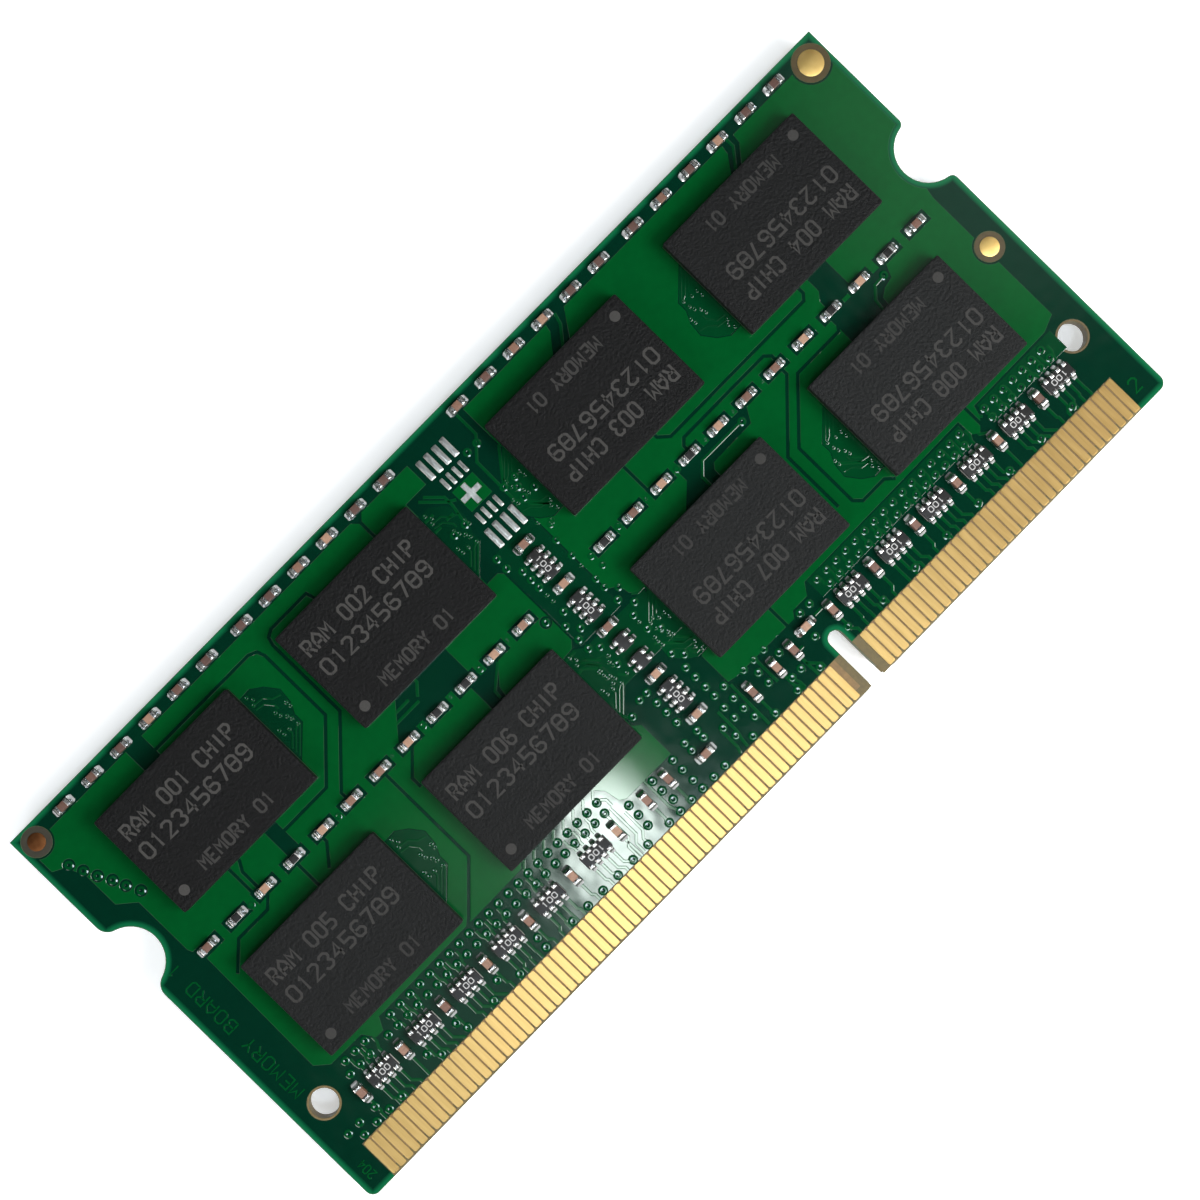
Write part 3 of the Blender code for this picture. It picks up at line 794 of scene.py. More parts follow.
# one row a round mark: its centre, its radius, the radius of the opening round it
MARKS = (((1.15, 28.9), 0.55, 0.95), ((66.32, 28.58), 0.81, 1.2), ((65.96, 13.28), 0.6, 0.95))
CONTACT_WINDOW = rectangle((1.85, -1.0), (65.4, 2.7))



def add_lacquered(name, shape, sharp_degrees=10):
    """A lacquered piece: flat areas and sloped sides keep a crisp edge between them."""
    add_piece(name, shape, LACQUER, sharp_degrees=sharp_degrees)


openings = [CONTACT_WINDOW]
openings += [disc(place, HOLE_RING_RADIUS) for place in HOLE_PLACES]
openings += [disc(place, window) for place, _, window in MARKS]
lacquer_sheet = etched_sheet([board_outline(0.02)], openings, 0.0, LACQUER_THICKNESS, 0.02)
for side, carry in BOARD_FACES:
    add_lacquered(f"lacquer_{side}", carry(lacquer_sheet))
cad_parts["circuit_board"].data.materials.clear()
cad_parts["circuit_board"].data.materials.append(BOARD_EDGE)

# %% [markdown]
# ## Copper under the lacquer
# A copper plane is one sheet with narrow channels etched out of it. The channels and
# clearings are drawn here as a designer draws them, as paths and outlines, and taken out
# of two large planes. Drawing the areas left over instead would take far more points.

# %% Outlines of the two copper planes
UNDER_LACQUER = LACQUER_THICKNESS / 2
NOTCH_CLEARANCE = 0.34

left_plane = [
    (3.1, 8.0), (3.9, 7.3), (6.4, 7.25), (6.9, 6.5), (7.5, 6.5), (7.9, 7.25), (19.9, 7.3), (20.4, 7.7),
    (26.1, 7.7), (26.7, 7.0), (26.9, 6.0), (27.3, 5.75), (31.05, 5.75), (31.05, 8.2), (30.6, 8.6),
    (30.6, 14.2), (31.4, 14.3), (31.75, 14.7), (31.75, 20.3), (31.5, 20.6), (30.6, 20.6), (30.6, 27.3),
    (32.3, 27.3), (32.3, 28.9), (0.5, 28.9), (0.5, 27.0), (1.25, 26.6), (1.75, 25.4), (1.75, 23.0),
    (2.8, 22.1), (2.8, 18.1), (3.25, 17.0),
]
notch_side = arc((LENGTH, NOTCH_UP), NOTCH_RADIUS + NOTCH_CLEARANCE, 222, 98, 14)
right_plane = np.concatenate([
    [
        (36.45, 6.3), (37.1, 6.15), (41.9, 6.1), (42.2, 6.5), (43.4, 6.5), (43.9, 7.2), (57.1, 7.3),
        (57.15, 6.2), (57.6, 5.9), (58.3, 6.6), (58.5, 7.3), (64.6, 7.35), (65.7, 7.8), (65.7, 17.7),
    ],
    notch_side,
    [
        (67.3, 22.8), (67.3, 28.9), (37.0, 28.9), (37.0, 21.1), (36.3, 21.5),
        (35.35, 21.5), (35.35, 15.3), (36.0, 14.9), (36.1, 14.2), (36.5, 13.9), (37.0, 13.85),
        (37.0, 8.95), (36.45, 8.5),
    ],
])
print("points in the planes:", len(left_plane) + len(right_plane))

# %% Channels and clearings that are etched out of the planes
channels = [
    [(9.8, 27.72), (17.7, 27.72), (18.2, 27.5), (18.38, 27.0), (18.38, 22.0), (15.35, 18.95), (11.7, 18.95)],
    [(22.9, 27.2), (22.7, 27.85), (19.75, 27.85), (19.3, 27.6), (19.15, 27.1), (19.15, 21.55), (15.75, 18.1),
     (15.75, 17.5)],
    [(7.9, 17.6), (7.9, 20.0)],
    [(8.35, 17.6), (8.35, 19.0), (8.7, 19.6), (8.7, 20.0)],
    [(27.95, 27.2), (27.95, 28.6)],
    [(3.9, 15.0), (5.4, 16.4), (7.8, 16.38), (8.45, 17.0)],
    [(10.95, 15.0), (10.95, 17.3)],
    [(12.1, 15.5), (13.1, 16.7), (13.1, 17.3)],
    [(18.35, 17.3), (18.35, 10.1), (15.75, 7.55), (15.2, 7.1)],
    [(19.3, 15.0), (19.3, 15.7), (20.6, 17.0), (20.6, 17.3)],
    [(43.85, 20.0), (43.9, 19.5), (44.5, 18.95), (55.85, 18.95), (56.15, 19.3), (56.15, 20.0)],
    [(44.6, 17.4), (44.65, 18.0), (45.0, 18.35), (51.8, 18.35), (52.15, 18.0), (52.15, 17.4)],
    [(41.25, 17.4), (41.25, 18.2), (41.25, 20.0)],
    [(48.5, 8.9), (48.5, 13.1), (52.0, 16.6), (52.0, 17.4)],
    [(52.1, 7.65), (51.6, 8.1), (49.8, 8.1), (49.35, 8.55), (49.35, 13.0), (52.5, 16.18), (56.0, 16.18),
     (56.25, 16.5)],
    [(41.3, 5.8), (41.3, 7.8)],
    [(58.0, 5.5), (58.0, 7.8)],
]
clearings = [
    [(8.6, 27.0), (9.9, 27.0), (9.9, 29.1), (8.6, 29.1)],
    [(10.9, 17.4), (11.8, 17.4), (11.8, 20.0), (10.9, 20.0)],
    [(27.4, 29.0), (27.86, 28.5), (28.04, 28.5), (28.5, 29.0)],
    [(20.2, 17.7), (22.2, 20.0), (26.1, 20.0), (26.1, 17.7)],
    [(25.55, 15.0), (26.6, 15.0), (26.75, 15.8), (27.9, 17.05), (25.55, 17.05)],
    [(56.9, 20.0), (56.9, 18.7), (56.5, 18.2), (56.5, 17.4), (58.45, 17.4), (58.45, 20.0)],
    [(44.1, 29.1), (43.95, 28.4), (42.9, 27.1), (44.3, 27.1), (45.7, 29.1)],
    [(59.1, 29.1), (58.95, 28.3), (58.1, 27.1), (58.9, 27.1), (59.9, 28.3), (60.0, 29.1)],
    [
        (41.8, 15.0), (43.3, 16.4), (43.3, 17.1), (49.0, 17.1),
        (48.4, 16.1), (45.2, 16.05), (44.9, 15.7), (44.9, 15.0),
    ],
    [
        (56.15, 15.0), (59.2, 15.0), (59.3, 15.7), (59.8, 16.05),
        (60.5, 16.2), (60.9, 17.1), (56.15, 17.1),
    ],
]
print("channels:", len(channels), "clearings:", len(clearings))

# %% [markdown]
# ## Fan-outs
# Beside each chip its signals spread from the balls to tiny vias in a clearing. All
# chips share one pattern, measured from the chip's centre. The four chips on the right
# are turned half round, and so are their fan-outs.

# %% One fan-out, repeated for the chips
FAN_CLEARING = np.array([
    (5.2, 2.8), (6.3, 2.85), (7.0, 2.35), (7.6, 1.55), (7.5, 0.6), (7.15, -0.1), (7.15, -0.75), (5.2, -2.6),
])
FAN_VIAS = np.array([
    (5.8, 2.6), (6.0, 2.25), (5.8, 2.0), (6.4, 0.77), (6.5, 0.45), (6.75, 0.15), (6.85, -0.15),
    (7.3, 0.77), (7.35, 0.45), (5.8, -0.13), (6.9, -0.62), (6.3, -0.5), (5.85, -0.5),
])
FAN_TRACES = (
    [(5.6, -1.45), (6.25, -0.78), (6.25, -0.5)],
    [(5.6, -1.75), (6.55, -0.8), (6.9, -0.62)],
    [(5.6, -2.05), (6.95, -0.72)],
    [(5.7, 2.0), (6.5, 1.9), (6.9, 1.45), (7.4, 1.3)],
    [(5.7, 1.7), (6.3, 1.6), (6.7, 1.1), (6.7, 0.8)],
)
SMALL_VIA = 0.5


def chip_spots(kind="mould", side="front"):
    """Each chip's centre in the plane, from its packed box, in the board's layout."""
    boxes = [corners_of(f"chip_{kind}_{side}_{number}") for number in range(1, 9)]
    return np.array([(low + high)[:2] / 2 for low, high in boxes]) - BOARD_LOW[:2]


def placed(points, centre, side):
    """Points moved to a chip's centre, and turned half round when the side is -1."""
    return np.asarray(points) * side + centre


CHIP_SPOTS = chip_spots()
FAN_CHIPS = ((0, 1), (4, 1), (1, 1), (5, 1), (3, -1), (7, -1), (2, -1), (6, -1))
FAN_SPOTS = [(CHIP_SPOTS[chip], side) for chip, side in FAN_CHIPS]
clearings += [placed(FAN_CLEARING, *spot) for spot in FAN_SPOTS]
print("fan-outs:", len(FAN_SPOTS))

# %% [markdown]
# ## Where the small parts stand
# Rows of parts follow simple rules: a start, a pitch and a count, mirrored about the
# middle. The same places serve the copper clearings, the solder and the parts.

# %% Places of the small parts
MIDDLE_X = LENGTH / 2
MIDDLE_Y = WIDTH / 2
QUARTER_TURN = math.pi / 2


def mirrored_row(starts, pitch, count, y):
    """Places at plus and minus (start + step times pitch), sorted from left to right."""
    steps = np.concatenate([start + pitch * np.arange(count) for start in starts])
    x = np.sort(np.concatenate([-steps, steps]))
    return np.column_stack([MIDDLE_X + x, np.full(len(x), MIDDLE_Y + y)])


edge_places = mirrored_row((3.1, 18.0), 2.4, 6, 14.25)
middle_places = mirrored_row((3.46,), 2.41, 12, 2.36)
# one sign a part, from left to right: its ceramic's tone in ninths, or C for a capacitor
EDGE_TONES = "221721115811" "525711141711"
MIDDLE_KINDS = "C.C.CCCC..CC" ".CC.CCCC.C.C"
MIDDLE_TONES = "308085580086" "038083480803"
UPRIGHT_TONES = "564657854464534562"
edge_tones = np.array([int(digit) for digit in EDGE_TONES]) / 9
middle_tones = np.array([int(digit) for digit in MIDDLE_TONES]) / 9
is_capacitor = np.array([kind == "C" for kind in MIDDLE_KINDS])

column_places = np.array([(MIDDLE_X, MIDDLE_Y + y) for y in (5.68, 2.36, -1.3, -5.28, -8.67)])
column_tones = np.array([5, 7, 4, 8, 7]) / 9
column_fours = np.array([(MIDDLE_X, MIDDLE_Y + y) for y in (4.04, 0.5, -6.98)])
column_twos = np.array([(MIDDLE_X, MIDDLE_Y + y) for y in (-2.55, -4.04)])

LOWER_Y = MIDDLE_Y - 10.13
LOWER_PITCH = 3.52
LEFT_ARRAYS = 5
RIGHT_ARRAYS = 6
array_x = np.concatenate([
    -28.0 + LOWER_PITCH * np.arange(LEFT_ARRAYS),
    [-10.02],
    11.77 + LOWER_PITCH * np.arange(RIGHT_ARRAYS),
])
upright_x = np.concatenate([
    -29.76 + LOWER_PITCH * np.arange(LEFT_ARRAYS),
    [-12.0, -8.27, -5.73, -3.94, 3.24, 5.28, 6.73],
    10.07 + LOWER_PITCH * np.arange(RIGHT_ARRAYS),
])
array_places = np.column_stack([MIDDLE_X + array_x, np.full(len(array_x), LOWER_Y)])
upright_places = np.column_stack([MIDDLE_X + upright_x, np.full(len(upright_x), LOWER_Y)])
upright_tones = np.array([int(digit) for digit in UPRIGHT_TONES]) / 9
lying_places = np.array([(MIDDLE_X - 1.3, MIDDLE_Y - 10.7), (MIDDLE_X + 8.22, MIDDLE_Y - 9.68)])
lying_tones = np.array([5, 8]) / 9
rows = (edge_places, middle_places, array_places, upright_places, lying_places)
print("parts in the rows:", [len(places) for places in rows])

# %% The copper planes, cut
COPPER_RISE = 0.028
COPPER_SLOPE = 0.033
CHANNEL_WIDTH = 0.17
PAD_CLEARING = np.array([1.85, 0.8])
VIA_CLEARING = 0.37
CORNER_VIAS = ((1.5, 26.58), (1.85, 25.74), (2.23, 24.93), (2.67, 24.13), (3.0, 23.34), (3.41, 22.5))
LONE_VIA = (31.4, 16.5)

cuts = [ribbon_outline(path, CHANNEL_WIDTH) for path in channels] + clearings
cuts += [rectangle(place - PAD_CLEARING / 2, place + PAD_CLEARING / 2) for place in middle_places]
cuts += [disc(place, window + 0.1) for place, _, window in MARKS]
cuts += [disc(place, VIA_CLEARING, 16) for place in (*CORNER_VIAS, LONE_VIA)]
planes = etched_sheet(
    [left_plane, right_plane], cuts, UNDER_LACQUER, COPPER_RISE, COPPER_SLOPE, 1.0, 0.2
)
for side, carry in BOARD_FACES:
    add_lacquered(f"copper_planes_{side}", carry(planes))

# %% [markdown]
# ## Traces and vias
# A trace is a flat ribbon under the lacquer, and a via is a plated hole that the lacquer
# almost closes, which leaves a low ring with a dark dimple. A lone part's trace runs to
# the contact nearest to it, and an array's four run to four contacts side by side, so
# both follow a rule. The few odd traces are drawn one by one.

# %% One via, and rows of them
RING_SIDES = 12
RING_PROFILE = ((0.31, 0.0), (0.22, 0.022), (0.14, 0.025), (0.07, 0.008))
# tones from the outside in: laminate at the foot, copper on the ring, and painted shade of the hole in the
# dimple
RING_TONES_AND_PAINTED_SHADE = np.repeat([0.0, 0.75, 0.65, -0.3], RING_SIDES)
via_ring = turned(RING_PROFILE, RING_SIDES)
via_ring = Shape(via_ring.points, via_ring.faces, RING_TONES_AND_PAINTED_SHADE)
small_via = Shape(via_ring.points * (SMALL_VIA, SMALL_VIA, 1), via_ring.faces, RING_TONES_AND_PAINTED_SHADE)


def row(first, last, pitch, y):
    """Via places along a row."""
    x = np.arange(first, last + 0.01, pitch)
    return np.column_stack([x, np.full(len(x), y)])


def column(x, heights):
    """Via places one above another."""
    return np.column_stack([np.full(len(heights), x), heights])


print("points in a via:", len(via_ring.points))

# %% Places of the vias
via_places = np.concatenate([
    row(4.65, 6.4, 0.82, 6.85), row(8.45, 25.9, 0.83, 6.87),
    row(44.5, 56.7, 0.81, 6.8), row(58.8, 64.2, 0.81, 6.8),
    row(4.3, 6.0, 0.83, 6.1), row(7.5, 26.4, 0.83, 6.1),
    row(44.9, 56.8, 0.82, 6.1), row(58.8, 64.0, 0.82, 6.1),
    row(37.6, 39.4, 0.85, 6.15), row(42.35, 43.2, 0.8, 6.1),
    row(2.35, 6.5, 1.05, 3.0), row(19.9, 26.5, 1.27, 2.97), row(28.05, 33.5, 0.95, 2.97),
    row(8.9, 18.0, 2.2, 3.05), row(35.2, 41.0, 1.9, 3.0), row(46.4, 64.4, 2.7, 3.1),
    [(1.7, 3.7), (2.65, 3.7), (3.95, 3.7), (8.3, 3.65)],
    [(10.8, 3.7), (14.3, 3.75), (17.75, 3.78), (43.8, 3.5)],
    [(27.05, 3.77), (29.2, 3.77), (30.85, 3.72), (34.5, 3.75)],
    [(36.1, 3.75), (39.3, 3.75), (40.05, 3.75)],
    column(27.1, (5.4, 4.6)), column(29.1, (5.4, 4.6)),
    column(30.85, (5.4, 4.6)), column(32.05, (5.6, 5.0)),
    column(33.1, (5.6, 5.05)), column(35.2, (5.4, 4.55)),
    column(36.0, (5.4, 4.55)), column(38.1, (5.4, 4.55)),
    [(34.3, 4.6), (39.8, 5.35), (42.0, 4.5), (31.0, 8.9)],
    [(32.0, 9.3), (35.8, 9.3), (36.1, 6.3), (36.2, 16.5)],
    column(32.6, (6.8, 7.65, 8.45, 9.3)), column(35.3, (6.3, 7.05, 7.9, 8.7, 9.9)),
    [*CORNER_VIAS, LONE_VIA, (35.75, 20.4), (48.1, 16.55), (60.3, 16.6)],
    [(7.35, 17.25), (14.65, 17.25), (21.95, 17.4), (26.7, 17.35)],
    [(36.1, 17.35), (38.5, 17.45), (43.35, 17.35)],
    [(31.3, 24.0), (32.2, 24.0), (35.4, 23.9), (36.3, 23.9)],
    [(36.0, 23.35), (35.8, 22.65), (36.7, 22.65)],
    [(35.35, 26.9), (36.15, 26.9)],
    column(32.6, (19.6, 18.9, 18.25, 16.2, 14.8, 13.2, 11.75)),
    column(32.05, (21.2, 20.4, 15.5, 14.4, 13.6)),
    column(35.35, (19.5, 18.2, 16.2, 15.5, 14.4, 13.1, 11.95)),
    column(35.95, (20.5, 14.9, 13.6, 11.4)),
])
small_via_places = np.concatenate([
    column(32.6, (17.6, 17.1, 12.5, 11.0)), column(31.6, (11.6, 11.15, 12.2)),
    column(35.3, (21.0, 17.4, 12.6, 11.3)), column(36.0, (12.2, 10.8)),
    [(45.8, 17.35), (48.15, 17.35), (50.65, 17.35), (19.4, 17.5)],
    [(24.3, 17.45), (29.05, 17.4), (40.8, 17.4)],
    *[placed(FAN_VIAS, *spot) for spot in FAN_SPOTS],
])


def at_height(places, height):
    """Flat places (x, y) with one height added to each."""
    return np.column_stack([places, np.full(len(places), height)])


vias = together([
    copies(via_ring, at_height(via_places, LACQUER_THICKNESS)),
    copies(small_via, at_height(small_via_places, LACQUER_THICKNESS)),
])
for side, carry in BOARD_FACES:
    add_lacquered(f"vias_{side}", carry(vias), sharp_degrees=50)
print("vias on a face:", len(via_places) + len(small_via_places))

# %% Traces that follow a rule
TRACE_WIDTH = 0.26
FAN_WIDTH = 0.2
TRACE_SLOPE = 0.07
TRACE_RISE = 0.022
TRACE_TONE = 0.6
FAN_TONE = 0.45
FIRST_CONTACT = 2.15
CONTACT_PITCH = 0.6
CONTACT_TOP = 2.72
PAD_FOOT = 4.2


def contact_near(x):
    """The centre of the contact that lies nearest: whole pitches from the first one."""
    return FIRST_CONTACT + CONTACT_PITCH * np.round((x - FIRST_CONTACT) / CONTACT_PITCH)


def drop_to_contact(x, y, end):
    """A trace from a pad straight down, across at 45 degrees, and down to its contact."""
    bend = 3.3
    return [(x, y), (x, bend), (end, bend - abs(end - x) - 0.01), (end, CONTACT_TOP)]


def rise_from_array(x, lean):
    """A trace from an array's terminal up to the vias, with a short step aside."""
    return [(x, 5.7), (x, 5.95), (x + lean, 6.1 + abs(lean)), (x + lean, 6.7)]


# one row a terminal of an array: its place along the array, how far its upper trace steps aside
ARRAY_TRACES = ((-0.75, -0.15), (-0.25, 0.12), (0.25, -0.12), (0.75, 0.2))

traces = [
    drop_to_contact(x + along, PAD_FOOT, contact_near(x + ARRAY_TRACES[0][0]) + CONTACT_PITCH * step)
    for x, _ in array_places
    for step, (along, _) in enumerate(ARRAY_TRACES)
]
traces += [drop_to_contact(x, PAD_FOOT, contact_near(x)) for x, _ in upright_places]
traces += [
    rise_from_array(x + along, lean)
    for x, _ in array_places
    for along, lean in ARRAY_TRACES
]
print("traces by rule:", len(traces))

# %% Traces drawn one by one
traces += [
    [(25.75, 6.1), (25.75, 4.1), (25.35, 3.7), (25.35, 2.8)],
    [(26.4, 6.1), (26.4, 6.6), (26.15, 6.85)],
    [(26.2, 6.1), (26.2, 3.9), (25.8, 3.5), (25.8, 2.8)],
    [(26.65, 5.3), (26.65, 3.8), (26.3, 3.4), (26.3, 2.8)],
    [(28.75, 5.9), (28.75, 3.6), (28.9, 3.3), (28.9, 3.0)],
    [(34.1, 4.6), (34.1, 3.2), (33.95, 2.8)],
    [(34.75, 5.5), (34.75, 3.9), (34.6, 3.3), (34.55, 2.8)],
    [(36.45, 6.1), (36.4, 2.8)],
    [(38.0, 6.5), (38.55, 5.9), (38.55, 4.2)],
    [(39.3, 3.7), (39.45, 3.2), (39.45, 2.8)],
    [(40.5, 3.8), (41.15, 3.1), (41.15, 2.8)],
    [(35.0, 11.05), (36.3, 9.85)],
    [(36.2, 10.45), (37.05, 9.5)],
    [(36.25, 9.45), (36.25, 9.1), (36.45, 8.9), (37.0, 8.95)],
    [(36.2, 14.1), (36.5, 13.85), (37.0, 13.85)],
    [(31.1, 13.45), (31.9, 12.3)],
    [(31.35, 13.45), (32.1, 12.6)],
    [(30.6, 13.0), (31.0, 13.0), (31.6, 12.4)],
    [(32.2, 11.3), (32.6, 10.85)],
    [(30.6, 14.05), (31.4, 14.05)],
    [(31.0, 8.9), (30.7, 9.2), (30.6, 9.6)],
    [(31.2, 26.9), (32.4, 25.7), (32.9, 25.4)],
    [(31.6, 26.9), (32.5, 26.0), (32.5, 25.3), (32.3, 24.3)],
    [(30.6, 25.75), (31.3, 25.75)],
    [(30.6, 24.9), (31.1, 24.9)],
    [(31.6, 24.95), (32.2, 24.95)],
    [(36.5, 28.9), (36.5, 27.3), (35.35, 26.1), (35.3, 22.9), (36.6, 21.3)],
    [(35.7, 22.2), (37.0, 20.9)],
    [(37.0, 25.9), (35.7, 24.3), (35.7, 23.9)],
    [(20.8, 19.1), (22.45, 19.1)],
    [(20.9, 18.62), (22.85, 18.62)],
    [(23.55, 20.0), (23.55, 19.5), (22.95, 18.85)],
    [(26.35, 15.3), (26.4, 15.8), (27.75, 16.9)],
    [(44.9, 29.0), (44.7, 28.3), (43.8, 27.2)],
    [(59.5, 29.0), (59.5, 28.4), (58.6, 27.3)],
    [(44.1, 15.2), (44.1, 15.9), (44.8, 16.6), (48.0, 16.58)],
    [(58.8, 15.2), (58.9, 15.9), (59.5, 16.55), (60.3, 16.6)],
    [(57.5, 6.4), (57.5, 5.9), (57.9, 5.6)],
    [(58.25, 7.3), (58.25, 6.7), (58.4, 6.5)],
    [(41.1, 4.6), (40.3, 4.6)],
    [(42.9, 5.4), (43.5, 5.4)],
    [(50.3, 10.75), (52.05, 9.1)],
    [(51.2, 10.4), (51.75, 9.85)],
]
traces += [
    [(x, 6.95), (x, 7.2), (x + 0.35, 7.55), (x + 0.35, 7.75)]
    for x in np.arange(20.07, 26.0, 0.83)
]
fan_traces = [placed(path, *spot) for spot in FAN_SPOTS for path in FAN_TRACES]
trace_shape = together([
    ribbon(path, width, TRACE_RISE, UNDER_LACQUER, TRACE_SLOPE, tone)
    for paths, width, tone in ((traces, TRACE_WIDTH, TRACE_TONE), (fan_traces, FAN_WIDTH, FAN_TONE))
    for path in paths
])
for side, carry in BOARD_FACES:
    add_lacquered(f"traces_{side}", carry(trace_shape))
print("traces on a face:", len(traces) + len(fan_traces))

# %% [markdown]
# ## Copper deeper down
# Where a clearing lies over an inner copper layer, the laminate glows a little greener. A
# very thin sheet with a low tone gives that without a second material. The clearings beside
# the four chips on the right get higher tones than those on the left: painted light, lighter
# where more light falls.

# %% Inner copper that shows through the clearings
# inner copper, plus painted light: higher tones for the clearings of the right-hand chips
INNER_TONES_AND_PAINTED_LIGHT = (0.15, 0.25, 0.15, 0.3, 0.45, 0.45, 0.4, 0.4)
# one row a field: its lower and upper corner, its tone
INNER_FIELDS = (
    (((44.0, 5.75), (57.0, 7.2)), 0.3),
    (((58.6, 5.75), (64.9, 7.25)), 0.32),
    (((31.85, 10.5), (36.9, 13.8)), 0.3),
    (((31.85, 14.0), (35.3, 21.5)), 0.15),
)
# the fields lie a little higher than the fan-outs' sheets where the two overlap
FAN_SHEET_RISE = 0.012
FIELD_RISE = 0.014
INNER_SLOPE = 0.04
inner_sheets = [
    etched_sheet([placed(FAN_CLEARING, *spot)], [], UNDER_LACQUER, FAN_SHEET_RISE, INNER_SLOPE, tone)
    for spot, tone in zip(FAN_SPOTS, INNER_TONES_AND_PAINTED_LIGHT)
]
inner_sheets += [
    etched_sheet([rectangle(*field)], [], UNDER_LACQUER, FIELD_RISE, INNER_SLOPE, tone)
    for field, tone in INNER_FIELDS
]
for side, carry in BOARD_FACES:
    add_lacquered(f"inner_copper_{side}", carry(together(inner_sheets)))

# %% [markdown]
# ## Bare metal on the board
# Three round marks guide the machine that places the parts, and a group of tinned pads
# and a plus sign stand in the middle. Each is low metal in an opening of the lacquer.

# %% Round marks
MARK_RISE = 0.03
RING_RISE = 0.012


def round_mark(place, radius, sides=40):
    """A low disc with its upper edge pulled in a little."""
    profile = ((radius, 0.0), (radius, MARK_RISE), (radius - 0.05, MARK_RISE + 0.01))
    return copies(turned(profile, sides), [(*place, 0.0)])


aged_place, aged_radius, aged_window = MARKS[0]
aged_mark = round_mark(aged_place, aged_radius, 32)
mark_discs = together([round_mark(place, radius) for place, radius, _ in MARKS[1:]])
print("points in the round marks:", len(aged_mark.points) + len(mark_discs.points))


# %% Washers round the marks and in the holes
def flat_ring(inner, outer, height, sides=40):
    """A low washer: four circles joined into a closed band, out along the bottom and back."""
    angles = np.arange(sides) * 2 * np.pi / sides
    corners = ((inner, 0.0), (outer, 0.0), (outer - 0.01, height), (inner + 0.01, height))
    loops = [
        np.column_stack([radius * np.cos(angles), radius * np.sin(angles), np.full(sides, z)])
        for radius, z in corners
    ]
    index = np.arange(4 * sides).reshape(4, sides)
    above = np.roll(index, -1, axis=0)
    following = np.roll(index, -1, axis=1)
    quads = np.stack([index, following, np.roll(above, -1, axis=1), above], axis=-1)
    return Shape(np.concatenate(loops), [quads.reshape(-1, 4)])


hole_rims = copies(
    flat_ring(HOLE_RADIUS + 0.01, HOLE_RING_RADIUS - 0.01, RING_RISE),
    [(*place, 0.0) for place in HOLE_PLACES], tones=[0.15, 0.62],
)
hole_liners = copies(
    flat_ring(HOLE_RADIUS - 0.02, HOLE_RADIUS + 0.005, THICKNESS / 2),
    [(*place, -THICKNESS / 2) for place in HOLE_PLACES],
)
aged_ring = copies(
    flat_ring(aged_radius, aged_window - 0.02, RING_RISE), [(*aged_place, 0.0)], tones=[1.0]
)
mark_rings = together([
    copies(flat_ring(radius, window - 0.02, RING_RISE), [(*place, 0.0)], tones=[0.72])
    for place, radius, window in MARKS[1:]
])
washers = together([hole_rims, hole_liners, aged_ring, mark_rings])
for side, carry in BOARD_FACES:
    add_piece(f"gold_marks_{side}", carry(mark_discs), FLASH_GOLD)
    add_piece(f"aged_mark_{side}", carry(aged_mark), BROWN_COPPER)
    add_piece(f"hole_rims_{side}", carry(washers), LAMINATE)

# %% Tinned pads and the plus sign
PAD_RISE = 0.05


def pad(length, width):
    """A tinned pad: a rounded block that bulges a little towards its middle."""
    profile = ((0.0, 0.0), (0.0, 0.02), (0.03, 0.04), (0.08, PAD_RISE), (0.13, PAD_RISE + 0.01))
    return stacked_block(length, width, 0.06, profile)


long_pads = [(x, y, UNDER_LACQUER) for x in (32.85, 33.5, 34.17, 34.83) for y in (27.9, 22.2)]
small_pads = [(x, y, UNDER_LACQUER) for x in (33.1, 33.6, 34.1, 34.6) for y in (26.5, 23.6)]
PLUS_PLACE = (33.8, 25.05)
plus_outline = np.array([
    (0.75, -0.2), (0.75, 0.2), (0.2, 0.2), (0.2, 0.75), (-0.2, 0.75), (-0.2, 0.2),
    (-0.75, 0.2), (-0.75, -0.2), (-0.2, -0.2), (-0.2, -0.75), (0.2, -0.75), (0.2, -0.2),
]) + PLUS_PLACE
pads = together([
    copies(pad(0.38, 1.4), long_pads),
    copies(pad(0.25, 0.82), small_pads),
    etched_sheet([plus_outline], [], UNDER_LACQUER, PAD_RISE, 0.04),
])
ground_field = rectangle((33.0, 24.2), (34.75, 25.9))
plus_ground = etched_sheet([ground_field], [], UNDER_LACQUER, 0.016, 0.03, 1.1)
add_piece("tinned_pads_front", on_front(pads), PAD_TIN)
add_lacquered("plus_ground_front", on_front(plus_ground))

# %% [markdown]
# ## Gold contacts
# Each contact is its own low plate with rounded corners, so the light catches every one
# along its sides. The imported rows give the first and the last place; between them the
# laminate shows, dark over an inner layer that stops short of the edge.

# %% Contacts
CONTACT_WIDTH = 0.49
PACKED_HALF_WIDTH = 0.225
CONTACT_CORNER = 0.11
ROWS = (("front_left", 66), ("front_right", 36), ("back_left", 66), ("back_right", 36))
for name, count in ROWS:
    low, high = corners_of(f"contacts_{name}")
    rise = high[2] - low[2]
    profile = ((0.0, -0.01), (0.0, rise - 0.012), (0.006, rise - 0.003), (0.016, rise))
    finger = stacked_block(CONTACT_WIDTH, high[1] - low[1], CONTACT_CORNER, profile)
    on_the_front = name.startswith("front")
    x = np.linspace(low[0] + PACKED_HALF_WIDTH, high[0] - PACKED_HALF_WIDTH, count)
    flat = np.column_stack([x, np.full(count, (low[1] + high[1]) / 2)])
    foot = low[2] if on_the_front else high[2]
    fingers = copies(finger if on_the_front else rolled(finger), at_height(flat, foot))
    add_piece(
        f"fingers_{name}", fingers, GOLD,
        replaces=[f"contacts_{name}"], sharp_degrees=10,
    )

